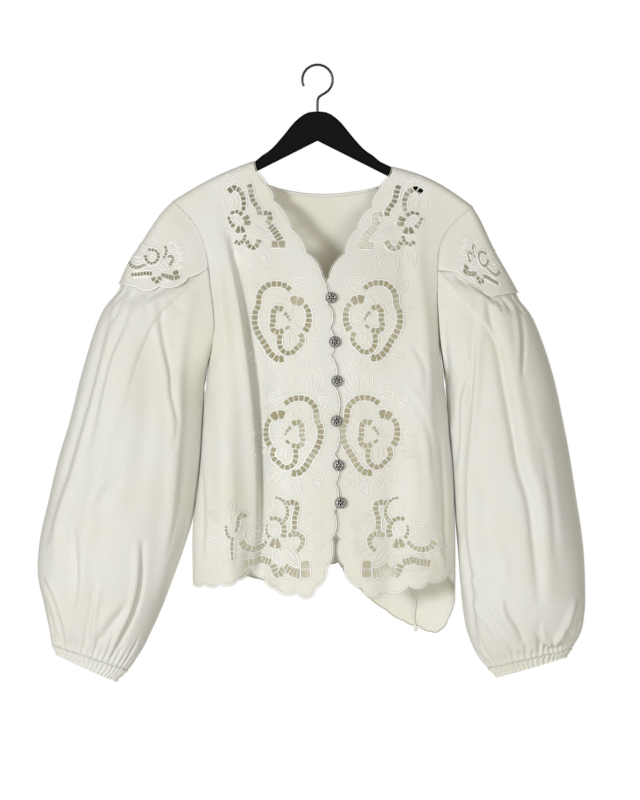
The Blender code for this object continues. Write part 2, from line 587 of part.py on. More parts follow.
def make_sleeve(collection, name, side, material):
    """Balloon sleeve, gathered under the cap and into the cuff."""
    turns = sleeve_turns()
    edge = cap_edge_reach(side, turns)
    top = np.where(edge > 0, edge - CAP_OVERLAP * smooth(25, 45, edge) + 0.9, 0.0)
    end = REACHES[side][-2]
    points = []
    for row in range(SLEEVE_ROWS + 1):
        part = (max(row - 1, 0) / (SLEEVE_ROWS - 1)) ** 0.95
        first = top + FIRST_ROW * min(row, 1)
        reach = first + (end - first) * part
        past = reach - edge
        under_cap = smooth(10, 45, past) * (edge > 0)
        sink = -1.2 * (1 - smooth(10, 30, past)) * smooth(0, 25, edge)
        gather = np.where(np.arange(SLEEVE_COLUMNS) % 2, 1.0, 0.0)
        fade = 1 - smooth(60, 260, past)
        top_wave = -gather * (1.4 + 4.0 * under_cap) * fade * (edge > 5)
        low_wave = -gather * 4.5 * smooth(end - 150, end - 25, reach) * (1 - smooth(end - 12, end, reach))
        puff = 4.0 * under_cap * (1 - smooth(120, 300, past))
        points.append(sleeve_point(side, turns, reach, sink + top_wave + low_wave + puff))
    faces = [(row * SLEEVE_COLUMNS + i, row * SLEEVE_COLUMNS + (i + 1) % SLEEVE_COLUMNS,
              (row + 1) * SLEEVE_COLUMNS + (i + 1) % SLEEVE_COLUMNS, (row + 1) * SLEEVE_COLUMNS + i)
             for row in range(SLEEVE_ROWS) for i in range(SLEEVE_COLUMNS)]
    return cloth_wall(collection, name, np.concatenate(points), faces, material)


def make_cuff(collection, name, side, material):
    """Narrow elastic cuff, ruched all round."""
    turns = np.linspace(-math.pi, math.pi, CUFF_COLUMNS, endpoint=False)
    start, end = REACHES[side][-2] + 1.1, REACHES[side][-1]
    waves = np.where(np.arange(CUFF_COLUMNS) % 2, -CUFF_SINK, CUFF_SINK)
    points = []
    for part, wave in ((0.0, 0.3), (0.4, 1.0), (1.0, 0.8)):
        points.append(sleeve_point(side, turns, start + (end - start) * part, waves * wave))
    faces = [(row * CUFF_COLUMNS + i, row * CUFF_COLUMNS + (i + 1) % CUFF_COLUMNS,
              (row + 1) * CUFF_COLUMNS + (i + 1) % CUFF_COLUMNS, (row + 1) * CUFF_COLUMNS + i)
             for row in range(2) for i in range(CUFF_COLUMNS)]
    return cloth_wall(collection, name, np.concatenate(points), faces, material)


def make_button(collection, name, x, drop, material):
    """Domed metal button, turned, lying on the upper front."""
    seat = front_point(LEFT, flat_place(x, drop)[None])[0]
    profile = ((BUTTON_RADIUS, 0.9), (BUTTON_RADIUS - 0.6, 2.3), (5.2, 4.0), (2.7, BUTTON_HEIGHT - 0.4))
    mesh = bpy.data.meshes.new(name)
    rim = [(0.0, BUTTON_HEIGHT)] + [(radius, height) for radius, height in profile[::-1]]
    rim += [(BUTTON_RADIUS - 0.5, 0.0), (0.0, 0.0)]
    mesh.from_pydata([(radius * MM, 0, height * MM) for radius, height in rim],
                     [(i, i + 1) for i in range(len(rim) - 1)], [])
    obj = add_object(collection, name, mesh, material)
    screw = obj.modifiers.new("turn", "SCREW")
    screw.steps = screw.render_steps = 12
    screw.use_merge_vertices = True
    screw.merge_threshold = 0.00001
    obj.location = (seat[0] * MM, (seat[1] - WALL / 2 - BUTTON_GAP) * MM, -seat[2] * MM)
    obj.rotation_euler = (math.pi / 2, 0, 0)
    return obj


def make_hanger(collection, material):
    """Shaped hanger arm, bevelled all round."""
    half = [(x, float(through(HANGER_TOP, x))) for x in np.linspace(0, HANGER_TOP[-1][0], HANGER_STEPS)]
    for x in np.linspace(HANGER_SHOULDER, HANGER_TIP, 8):
        half.append((x, float(shoulder_drop(x)) + WALL / 2 + HANGER_CLEAR))
    tip_low = HANGER_UNDER + HANGER_UNDER_SLOPE * HANGER_TIP
    half += [(HANGER_TIP, tip_low), (0, HANGER_UNDER)]
    loop = half + [(-x, drop) for x, drop in half[-2:0:-1]]
    curve = bpy.data.curves.new("hanger", "CURVE")
    curve.dimensions = "2D"
    curve.fill_mode = "BOTH"
    curve.extrude = (HANGER_THICK / 2 - HANGER_BEVEL) * MM
    curve.bevel_depth = HANGER_BEVEL * MM
    curve.bevel_resolution = 1
    curve.offset = -HANGER_BEVEL * MM
    spline = curve.splines.new("POLY")
    spline.points.add(len(loop) - 1)
    for point, (x, drop) in zip(spline.points, loop):
        point.co = (x * MM, -drop * MM, 0, 1)
    spline.use_cyclic_u = True
    obj = add_object(collection, "hanger", curve, material)
    obj.rotation_euler = (math.pi / 2, 0, 0)
    return obj


def make_tube(collection, name, route, radius, material):
    """Round wire or cord along a route of (x, y, z) points in metres."""
    curve = bpy.data.curves.new(name, "CURVE")
    curve.dimensions = "3D"
    curve.bevel_depth = radius * MM
    curve.bevel_resolution = 2
    curve.use_fill_caps = True
    spline = curve.splines.new("POLY")
    spline.points.add(len(route) - 1)
    for point, place in zip(spline.points, route):
        point.co = (*place, 1)
    return add_object(collection, name, curve, material)


def make_hook(collection, material):
    """Wire hook over the hanger's middle, open on one side."""
    radius = HOOK_INSIDE + WIRE_RADIUS
    stem_end, join = -50.0, math.radians(-62)
    route = [(0, -HANGER_TOP[0][1] + 0.3), (0, -57.0)]
    start, stop = np.array((0, stem_end)), np.array((math.cos(join), math.sin(join))) * radius
    stop = stop + (0, -HOOK_INSIDE)
    lead = 8.0
    start_way, stop_way = np.array((0, lead)), np.array((-math.sin(join), math.cos(join))) * lead
    for s in np.linspace(0, 1, 5)[:-1]:
        bend = ((1 - s) ** 3 * start + 3 * s * (1 - s) ** 2 * (start + start_way)
                + 3 * s * s * (1 - s) * (stop - stop_way) + s ** 3 * stop)
        route.append(tuple(bend))
    for angle in np.linspace(join, math.radians(205), 16):
        route.append((math.cos(angle) * radius, math.sin(angle) * radius - HOOK_INSIDE))
    return make_tube(collection, "hanger_hook", [(x * MM, 0, z * MM) for x, z in route],
                     WIRE_RADIUS, material)


def tie_points():
    """Route of the tie in millimetres, just inside the back."""
    at = np.linspace(0, len(TIE_ROUTE) - 1, 12)
    x = through(list(enumerate(place[0] for place in TIE_ROUTE)), at)
    drop = through(list(enumerate(place[1] for place in TIE_ROUTE)), at)
    return body_point(BACK, flat_place(x, drop), -(WALL / 2 + 0.3 + TIE_RADIUS))


def make_tie(collection, material):
    """Thin tie that hangs at the hem, with a knot on its end."""
    route = tie_points()
    tie = make_tube(collection, "hem_tie", metres(route), TIE_RADIUS, material)
    end, before = route[-1], route[-2]
    way = (end - before) / np.linalg.norm(end - before)
    centre = end + way * (KNOT_RADIUS + 0.3)
    bpy.ops.mesh.primitive_uv_sphere_add(segments=10, ring_count=6, radius=KNOT_RADIUS * MM,
                                         location=metres([centre])[0])
    knot = bpy.context.object
    knot.name = knot.data.name = "hem_tie_knot"
    knot.data.materials.append(material)
    for holder in list(knot.users_collection):
        holder.objects.unlink(knot)
    collection.objects.link(knot)
    return tie, knot


def build():
    """Make the whole blouse and its hanger."""
    for obj in list(bpy.data.objects):
        bpy.data.objects.remove(obj, do_unlink=True)
    collection = bpy.data.collections.new("blouse_on_hanger")
    bpy.context.scene.collection.children.link(collection)
    cotton = make_material("cotton", (0.80, 0.79, 0.74), 0.85)
    binding = make_material("binding", (0.76, 0.74, 0.66), 0.8)
    metal = make_material("button_metal", (0.35, 0.34, 0.33), 0.35, 1.0)
    black = make_material("hanger_black", (0.012, 0.014, 0.014), 0.4)
    steel = make_material("hook_steel", (0.08, 0.08, 0.08), 0.3, 1.0)
    make_front(collection, "front_right", LEFT, cotton)
    make_front(collection, "front_left", RIGHT, cotton)
    make_back(collection, cotton)
    make_neck_binding(collection, binding)
    for side, word in ((LEFT, "right"), (RIGHT, "left")):
        make_cap(collection, "cap_" + word, side, cotton)
        make_sleeve(collection, "sleeve_" + word, side, cotton)
        make_cuff(collection, "cuff_" + word, side, cotton)
    for number, (x, drop) in enumerate(BUTTON_PLACES, 1):
        make_button(collection, "button_%d" % number, x, drop, metal)
    make_hanger(collection, black)
    make_hook(collection, steel)
    make_tie(collection, binding)


build()
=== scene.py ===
"""Dresses the cutwork blouse on its hanger: fine cloth shells, stitching, buttons, tie, light and camera.

Run as a script. Sizes in the tables are millimetres seen from the front: x to the viewer's right, drop
down from the inside top of the hook, y from the front to the back. Blender's metres come last.
"""
import math
from collections import namedtuple

import bmesh
import bpy
import numpy as np
from bpy.props import FloatProperty, FloatVectorProperty, PointerProperty
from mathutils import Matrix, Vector
from mathutils.geometry import delaunay_2d_cdt
from mathutils.kdtree import KDTree


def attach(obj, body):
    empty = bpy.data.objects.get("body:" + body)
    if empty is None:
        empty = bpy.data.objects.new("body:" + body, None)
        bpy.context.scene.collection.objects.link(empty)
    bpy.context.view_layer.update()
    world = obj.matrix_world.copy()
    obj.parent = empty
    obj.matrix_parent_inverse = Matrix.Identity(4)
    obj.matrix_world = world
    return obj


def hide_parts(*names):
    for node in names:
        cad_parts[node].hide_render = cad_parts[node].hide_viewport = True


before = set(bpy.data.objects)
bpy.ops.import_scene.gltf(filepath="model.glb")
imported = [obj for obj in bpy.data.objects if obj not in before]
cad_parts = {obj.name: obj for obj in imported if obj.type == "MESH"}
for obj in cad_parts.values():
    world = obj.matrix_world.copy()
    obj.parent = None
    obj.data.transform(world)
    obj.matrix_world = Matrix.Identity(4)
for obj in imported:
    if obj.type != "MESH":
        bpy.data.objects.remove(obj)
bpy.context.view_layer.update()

bl_info = {
    "name": "Cutwork blouse on a hanger",
    "version": (1, 0, 0),
    "blender": (4, 5, 0),
    "location": "3D View > Sidebar > Blouse",
    "description": "Makes the cloth, cutwork, buttons and tie of a blouse, and a studio for it",
    "category": "Object",
}

MM = 0.001
LEFT, RIGHT = -1, 1          # the viewer's left and right
FRONT, BACK = -1, 1
WORN_SIDE = {LEFT: "right", RIGHT: "left"}


def rows_of(kind, *rows):
    """Rows of a table, with the column names of their kind."""
    return [kind(*row) for row in rows]


# Body of the blouse
HALF_SEAM = 0.25             # each side of a seam at the sides and shoulders
ARMHOLE_SEAM = 0.15          # from a panel's edge to the sleeve's
OVERLAP_LIFT = 2.4           # the upper front lies this far over the lower one
OVERLAP_X, OVERLAP_DROP = (-28, -3), (240, 300)  # where the upper front starts to lift
SHOULDER_ROLL = 11.0         # radius of the cloth where it turns over the hanger
ROLL_SLACK = SHOULDER_ROLL * (math.pi / 2 - 1)  # how much longer the rolled shoulder is than its drop
FRONT_DEPTH, BACK_DEPTH = 46.0, 29.0
BODY_FILL = 230              # the body reaches its full depth this far below the shoulder
SIDE_POWER = 2.8             # roundness of the body towards its side seams
BAR, BAR_SHARE = 1.3, 0.24   # stitched bar between two cut cells, and its largest share of their pitch
CELL_POINTS, CELL_CORNER, CELL_WIDEN = 12, 0.42, 1.05  # a cell's outline; a lower corner is squarer
SCALLOP_POINTS, SCALLOP_POWER = 10, 0.7
SHOULDER_TOP, SHOULDER_SLOPE, SHOULDER_SOFT = 79.5, 0.52, 40.0

# Rise of the shoulder's cloth over a straight line: where it starts and ends, and its height
SHOULDER_RISE = {LEFT: (88.8, 196.5, 4.0), RIGHT: (104.1, 210.5, 8.0)}

# Half width of the body at each drop
HALF_WIDTH = {
    LEFT: ((100, 236), (184, 230), (224, 207), (265, 186), (305, 175), (346, 165), (386, 152),
           (427, 150), (454, 153), (531, 158), (578, 163), (616, 168), (700, 169), (790, 169)),
    RIGHT: ((100, 246), (190, 240), (224, 216), (267, 195), (298, 186), (332, 181), (366, 176),
            (393, 172), (424, 170.8), (454, 174.6), (531, 181), (598, 185.5), (634, 186.5),
            (700, 187), (790, 187)),
}

# Armhole: x of the seam at each drop, from the shoulder tip to the underarm
ARMHOLE = {
    LEFT: ((183.4, -195.8), (212, -168.6), (238, -155.7), (264.6, -149.2), (297, -145.4),
           (336, -140.7), (362, -140.1), (388, -144), (410, -148.5), (426.6, -150)),
    RIGHT: ((190.6, 209.9), (217, 181.6), (244, 166.7), (267, 163.5), (298, 162.7),
            (332, 163.4), (366, 165.4), (393, 167.6), (410, 169.5), (424, 170.8)),
}

# Edges run down each front from the neck to the side: x, drop, and the bulge of the scallop that follows
Cusp = namedtuple("Cusp", "x drop bulge")
UPPER_FRONT_EDGE = rows_of(
    Cusp,
    (-85.5, 144.5, 1.5), (-69.1, 164.7, 3), (-61, 184.3, 4.5), (-36.6, 223.8, 4.5), (-17.3, 256.5, 4.5),
    (4, 286.2, 3.5), (12.2, 325.4, 6.5), (14.3, 357, 6.5), (15.8, 394, 6.5), (21.5, 436, 6.5),
    (23, 481, 6.5), (20.9, 526.5, 6.5), (22.3, 565.7, 6.5), (19.6, 603.5, 6.5), (17, 640, 6),
    (9.9, 680, 5), (-3.9, 704.7, 11), (-27.4, 710, 6), (-54.9, 706, 3), (-70, 694, 3), (-90.7, 680.4, 3),
    (-108.7, 694, 5), (-131.5, 698, 5), (-152.7, 699, 4))
UNDER_FRONT_EDGE = rows_of(
    Cusp,
    (99.2, 151.7, 1.5), (84.4, 170.4, 3), (76.1, 193.6, 4.5), (55.2, 223.8, 4.5), (39, 257.6, 4.5),
    (18.1, 289, 4), (10, 325, 6), (8, 357, 6), (9, 394, 6), (14, 436, 6), (17, 481, 6), (18, 526, 6),
    (24, 566, 5), (29.4, 605, 6), (32.8, 640.7, 6), (37, 676, 6), (61.3, 706, 11), (90.3, 709.3, 7),
    (122.9, 702, 7), (149.2, 696.6, 7), (178.9, 683, 3))
BACK_NECK = ((-88.8, 131), (-85, 145), (-69, 159.3), (-40, 168), (4, 172.8), (50, 169.5), (85, 161.5),
             (99, 149), (104.1, 137.5))
BACK_HEM = ((-169, 699), (-130, 697), (-96, 694), (-60, 700), (-30, 703), (-6, 699), (12, 676), (28, 675),
            (66, 719), (94, 741), (117, 755), (137, 762), (156, 770), (167, 768), (178, 752), (187, 722))
NECK_X = {LEFT: -88.8, RIGHT: 104.1}
UNDERARM_DROP = {LEFT: 426.6, RIGHT: 424.0}
UNDERARM_CLEAR = 1.7         # the sleeve leaves the side seam this far out
SIDE_HEM = 700.0

# Largest folds of the body: path (drop, x), depth (drop, mm, back when positive) and half width
Fold = namedtuple("Fold", "path depth width")
FOLDS = {
    FRONT: (
        Fold(((200, -124), (230, -112), (320, -95), (400, -84), (480, -80), (720, -78)),
             ((200, 0), (260, 8), (340, 16), (420, 24), (720, 26)), 22),
        Fold(((300, -121), (720, -121)), ((300, 0), (420, -9), (720, -13)), 32),
        Fold(((250, 145), (720, 145)), ((250, 0), (420, -7), (720, -8)), 30),
        Fold(((480, 104), (720, 98)), ((480, 0), (600, 6), (720, 8)), 17),
    ),
    BACK: (
        Fold(((300, -70), (760, -78)), ((300, 0), (460, -8), (760, -12)), 26),
        Fold(((320, 84), (760, 92)), ((320, 0), (480, -7), (760, -10)), 24),
        Fold(((300, 8), (760, 4)), ((300, 0), (500, 5), (760, 8)), 34),
    ),
}

# Soft creases of the cloth: places (x, drop) from end to end, height out of the cloth, half width, and
# the height of a soft ridge beside them, to the viewer's left of a path that runs down when positive
Crease = namedtuple("Crease", "path height width flank", defaults=(0.0,))
CREASES = {
    LEFT: rows_of(
        Crease,
        (((-118, 226), (-101, 319), (-91, 413), (-84, 494), (-80, 562), (-77, 684)), -13, 4.6, 11),
        (((-142, 190), (-134, 238), (-129, 319), (-121, 400)), 3.5, 10),
        (((-150, 250), (-140, 300), (-136, 372)), -2.4, 6),
        (((-146, 430), (-126, 398), (-98, 388)), 1.6, 7),
        (((-138, 440), (-128, 520), (-130, 610)), 2.4, 11),
        (((-156, 540), (-154, 600), (-156, 672)), -2.2, 4, -1.5),
        (((-112, 470), (-106, 560), (-108, 660)), -1.4, 7),
        (((-60, 210), (-74, 270), (-70, 330)), 1.6, 9),
        (((-20, 400), (-12, 450), (-16, 520)), 1.3, 9),
        (((-62, 392), (-44, 412), (-22, 416)), -1.2, 5),
        (((-66, 420), (-60, 500), (-64, 590)), 1.6, 8),
        (((-38, 570), (-30, 610), (-40, 650)), 1.0, 8),
        (((-56, 640), (-46, 668), (-48, 696)), -1.4, 4),
        (((-24, 660), (-18, 684), (-22, 704)), -1.2, 4),
        (((-114, 640), (-108, 662), (-116, 684)), -1.4, 4),
    ),
    RIGHT: rows_of(
        Crease,
        (((140, 196), (136, 250), (146, 360), (150, 480), (153, 640)), 3.6, 9),
        (((118, 210), (116, 290), (124, 370)), -2.0, 9),
        (((164, 300), (166, 380), (168, 450)), -2.4, 5),
        (((128, 378), (142, 402), (146, 446)), -2.0, 4, 1.4),
        (((118, 430), (136, 452), (144, 492)), 1.6, 5),
        (((134, 456), (150, 500), (156, 560)), -1.8, 4, 1.2),
        (((126, 500), (134, 560), (130, 628)), 1.6, 8),
        (((166, 500), (171, 580), (173, 668)), -2.4, 4),
        (((60, 400), (50, 440), (54, 500)), 1.2, 10),
        (((66, 650), (60, 676), (62, 700)), 1.0, 5),
        (((92, 655), (94, 680), (90, 704)), 1.0, 5),
        (((112, 650), (122, 676), (124, 698)), 1.0, 5),
        (((140, 640), (146, 668), (142, 694)), -1.6, 5),
        (((160, 630), (164, 660), (170, 686)), 2.0, 5),
        (((44, 610), (50, 650), (52, 690)), 1.4, 7),
    ),
    "back": rows_of(
        Crease,
        (((-120, 220), (-60, 300), (-50, 420)), 2.0, 11),
        (((120, 230), (70, 310), (60, 430)), 2.0, 11),
        (((-130, 430), (-118, 560), (-122, 690)), -3.0, 8, 2),
        (((-30, 420), (-24, 560), (-30, 670)), 2.4, 10),
        (((40, 380), (44, 520), (40, 660)), -2.6, 8, 2),
        (((130, 430), (134, 580), (130, 740)), 2.4, 9),
        (((0, 200), (4, 260), (-2, 330)), 1.5, 12),
        (((160, 470), (158, 600), (163, 740)), -1.8, 6),
        (((-150, 460), (-148, 560), (-152, 660)), 1.8, 6),
        (((-86, 360), (-92, 480), (-84, 600)), -2.2, 6, -1.5),
        (((96, 600), (100, 680), (98, 738)), 1.6, 7),
    ),
}
SLEEVE_CREASES = {
    LEFT: rows_of(
        Crease,
        (((-272, 312), (-288, 373), (-307, 447), (-326, 508), (-348, 582), (-366, 649)), -4.5, 5, -3),
        (((-245, 308), (-258, 343), (-273, 379), (-289, 433), (-303, 487), (-315, 537)), -4.2, 5, -3),
        (((-252, 370), (-262, 387), (-269, 405), (-275, 433), (-285, 470)), -2.4, 3, 1.8),
        (((-215, 305), (-211, 346), (-206, 379), (-198, 416), (-196, 447), (-191, 481), (-196, 524)),
         -4.2, 3.4, 2.4),
        (((-208, 305), (-196, 321), (-180, 337)), -2.6, 2.6),
        (((-202, 302), (-186, 312)), -2.0, 2.2),
        (((-228, 309), (-230, 334), (-236, 352)), -2.2, 2.6),
        (((-262, 308), (-266, 330), (-276, 352)), -2.6, 3, 1.5),
        (((-169, 305), (-180, 359), (-187, 413), (-191, 494), (-196, 575), (-202, 649),
          (-217, 724)), 6, 9),
        (((-235, 640), (-237, 697), (-245, 734), (-265, 778), (-284, 812)), -5.5, 3.8, 4),
        (((-329, 622), (-325, 670), (-326, 710), (-337, 753)), -3.6, 4.4, -2.6),
        (((-373, 694), (-357, 726), (-348, 759), (-346, 786)), -5, 3, -4),
        (((-298, 697), (-306, 740), (-310, 786)), -3.8, 3, -2.4),
        (((-250, 724), (-277, 756), (-296, 782)), -3.4, 5, 2),
        (((-226, 359), (-231, 494), (-253, 616)), -5, 16),
        (((-240, 359), (-267, 454), (-294, 548), (-310, 643), (-315, 724)), 4.5, 12),
        (((-176, 609), (-191, 678), (-213, 748), (-240, 798)), -2.6, 2.8, -2),
        (((-183, 520), (-190, 600), (-206, 670)), -2.4, 4),
        (((-262, 560), (-285, 580), (-300, 610)), -2.6, 7, 1.5),
        (((-338, 560), (-352, 620), (-354, 680)), 3, 8),
    ),
    RIGHT: rows_of(
        Crease,
        (((219, 308), (211, 359), (207, 427), (203, 481), (197, 562), (199, 643), (206, 697),
          (211, 753), (215, 786)), -6.5, 4, -5),
        (((195, 383), (200, 405), (191, 456), (190, 508), (186, 551)), -4, 2.8, -3),
        (((167, 330), (172, 413), (179, 490)), -6, 7),
        (((235, 316), (234, 339), (244, 386), (253, 440), (263, 494), (273, 548), (284, 582),
          (292, 643), (300, 730)), -9, 7, -4),
        (((268, 316), (275, 362), (275, 424)), -3.6, 3, 2),
        (((246, 318), (249, 338)), -3, 2.2),
        (((257, 317), (259, 332)), -2.6, 2.2),
        (((227, 314), (236, 359)), -2.4, 3),
        (((206, 686), (217, 695), (233, 714)), -3, 3, 2),
        (((211, 717), (236, 751), (261, 787)), -4, 3, 3),
        (((253, 721), (258, 740), (271, 761), (279, 778)), -6, 3.6, 5),
        (((292, 761), (302, 784), (317, 792), (335, 778), (348, 751), (356, 724)), -5, 3.6, -5),
        (((225, 454), (227, 562), (233, 670)), 3.5, 14),
        (((287, 454), (311, 562), (327, 670)), 4, 14),
        (((300, 500), (314, 590), (322, 670)), -2.4, 6),
        (((190, 620), (188, 680), (200, 748)), -3, 4, -2.4),
        (((240, 640), (252, 680), (250, 712)), 3, 8),
    ),
}

# Sleeve rings from the armhole to the cuff: outer line, inner line and half depth
Ring = namedtuple("Ring", "out_x out_drop in_x in_drop depth")
SLEEVE_RINGS = {
    LEFT: rows_of(
        Ring,
        (-195.8, 183.4, -150, 426.6, 30), (-207, 197, -151.7, 434, 33), (-238, 243, -152.7, 444, 42),
        (-256, 271, -153.9, 455, 47), (-268, 298, -155, 468, 51), (-292, 344, -156.6, 495, 57),
        (-313, 408, -158.7, 529, 62), (-333, 481, -163.2, 571, 66), (-351, 535, -169.4, 613, 68),
        (-365, 593, -182, 656, 69), (-378, 655, -197, 697, 67), (-379, 693, -210, 732, 61),
        (-371, 730, -225, 765.5, 51), (-364, 764, -241, 796.5, 37), (-360, 786, -258.5, 821, 24),
        (-353, 799, -274, 835, 18)),
    RIGHT: rows_of(
        Ring,
        (209.9, 190.6, 170.8, 424, 30), (220.7, 214, 172.6, 431.5, 34), (241, 256.5, 173.8, 442, 43),
        (255.8, 282, 175.2, 452.5, 48), (270.7, 309, 176.5, 467, 52), (292, 352, 178.5, 491.5, 57),
        (312.5, 410, 181.8, 527, 62), (330, 481, 185, 571, 66), (342, 535, 187.4, 616, 68),
        (352, 595, 191.2, 660, 69), (361, 659, 194.5, 703, 67), (363, 701, 198, 740, 61),
        (362.5, 740, 205, 772, 51), (357, 769.5, 217, 799, 37), (345, 791, 232, 818, 24),
        (337, 802, 244, 829, 18)),
}
SLEEVE_BACK_SHARE = 0.85     # the back of a sleeve is flatter than its front
ARMHOLE_FADE = 150.0         # the armhole's own curve fades out over this much sleeve
SLEEVE_SPREAD = 75.0         # mm of sleeve for each radian of turn, on its flat cloth
SLEEVE_COLUMNS, SLEEVE_ROWS = 256, 140
PUFF = 4.0                   # the sleeve swells this much out of its gathers under the cap

# Folds of the hidden side of a sleeve: turn at both ends in degrees, start and end as shares of its
# length, depth and half width
SleeveFold = namedtuple("SleeveFold", "top low start end depth width")
SLEEVE_FOLDS = rows_of(
    SleeveFold,
    (-30, -22, 0.24, 0.84, 6, 9), (-58, -70, 0.22, 0.92, 8, 6), (-88, -82, 0.30, 0.74, 5, 11),
    (-112, -120, 0.20, 0.88, 7, 7), (-146, -140, 0.30, 0.90, 5, 9), (-46, -38, 0.66, 0.97, 5, 5),
    (-98, -104, 0.62, 0.97, 6, 5), (-130, -128, 0.70, 0.97, 4, 5))

# Gathers under the cap and into the cuff: turn in degrees, depth and how far they run, in mm
Gather = namedtuple("Gather", "turn depth length")
CAP_GATHERS = rows_of(
    Gather,
    (4, 2.0, 26), (12, 2.8, 40), (17, 1.8, 20), (26, 2.6, 52), (31, 1.8, 22), (41, 2.4, 34),
    (52, 1.8, 24), (61, 2.2, 44), (70, 1.6, 26))
CUFF_GATHERS = rows_of(
    Gather,
    (3, 3.0, 26), (10, 3.6, 44), (17, 2.6, 20), (25, 4.0, 60), (33, 2.8, 30), (40, 3.4, 24),
    (48, 4.2, 52), (56, 2.8, 22), (63, 3.6, 36), (71, 3.0, 28), (79, 4.2, 66), (87, 2.6, 20),
    (95, 3.6, 40), (103, 3.0, 24), (111, 4.0, 56), (120, 2.6, 22), (128, 3.4, 34), (137, 3.0, 26),
    (146, 4.0, 48), (155, 2.6, 20), (164, 3.4, 36), (173, 2.8, 24))
GATHER_WIDTH = 2.6
CUFF_WAVES, CUFF_SINK, CUFF_ROWS = 46, 0.9, 12
CUFF_PINCH = 0.7             # the elastic pulls the cuff in by this much
CUFF_CHANNELS = (0.3, 0.68)  # the two rows of elastic

CAP_TURN = math.radians(75)  # the cap covers this much of the armhole each way from its top
CAP_LIFT, CAP_OVERLAP = 2.2, 8.0
CAP_EDGE = {
    LEFT: rows_of(
        Cusp,
        (-243.5, 302, 6), (-214.5, 300.6, 6), (-175.1, 289, 1)),
    RIGHT: rows_of(
        Cusp,
        (242.3, 313, 6), (219, 302, 1), (188, 281, 0.5)),
}
CAP_OUTER_REACH = {LEFT: 134.0, RIGHT: 133.0}

# Cutwork: chains of cells between the points of a middle line, in mm from the motif's centre, up positive
Chain = namedtuple("Chain", "points cells start_width end_width")
Leaf = namedtuple("Leaf", "x up angle length width")
Stitch = namedtuple("Stitch", "x up angle length")
Design = namedtuple("Design", "chains leaves stitches lines")
FLOWER = Design(
    chains=rows_of(
        Chain,
        (((12.5, 41.5), (6, 47), (-2.4, 49.6), (-11, 49.8), (-18, 48), (-24.6, 42.5), (-28.6, 37),
         (-30.4, 29), (-31, 21), (-35, 12), (-36, 4), (-35.8, -4), (-33, -12.4), (-29.4, -20),
         (-24.6, -27.6), (-19.4, -36), (-15.4, -43), (-9.9, -48), (-4, -51.6), (3.5, -50.6)),
         22, 6.4, 8.4),
        (((12.5, 26), (21, 28.4), (29, 22.5)), 2, 10.5, 10.5),
        (((31, 22), (35.4, 16), (37.2, 8), (37.2, 0), (35.8, -7), (31.5, -14.5)), 6, 5.8, 8.6),
        (((12.2, -1), (9.6, 5), (4.2, 11)), 3, 2.0, 4.8),
        (((2.4, 14.6), (-2, 17), (-8, 16.4), (-10.8, 8), (-10.8, 0), (-12.2, -7), (-9.4, -14),
         (-3.6, -15), (3.4, -13.2)), 9, 7.0, 6.6),
        (((5.4, -11.6), (11.4, -6.6)), 1, 3.4, 3.4),
        (((-2, -18.4), (-2.6, -29), (-0.6, -36.8), (5.2, -42.6), (14.2, -43), (20, -37.4),
         (26, -32), (28.4, -25), (25.4, -16.6)), 10, 6.0, 6.0),
    ),
    leaves=rows_of(Leaf, (9, 43, 28, 27, 19), (-29, 36, 137, 24, 14), (-36, 18, 182, 18, 19),
            (-23, -37, 221, 24, 17), (-14, -49, 290, 20, 9), (20, -43, 302, 27, 17)),
    stitches=rows_of(Stitch, (-6.6, 29, 90, 8), (-0.4, 23, 58, 9), (11, 10, 56, 9),
              (13.6, 4, 50, 8), (15, 0, 350, 12), (10, -17, 270, 15),
              (15, -16, 285, 12), (-15, -28, 40, 8), (-25, -10, 2, 8),
              (-17, 24, 200, 6), (14, 49, 20, 8), (41, 19, 14, 6),
              (42, 12, 12, 6), (40, -16, 33, 9), (39, -20, 330, 12)),
    lines=(((-27, 17), (-20, 11), (-13, 6)), ((-1, 21), (3, 26), (9, 27), (12, 26)),
           ((14, -3), (20, -6), (24, -11)), ((-1, -15), (6, -12), (14, -5)), ((1, -18), (1, -28), (6, -36))),
)
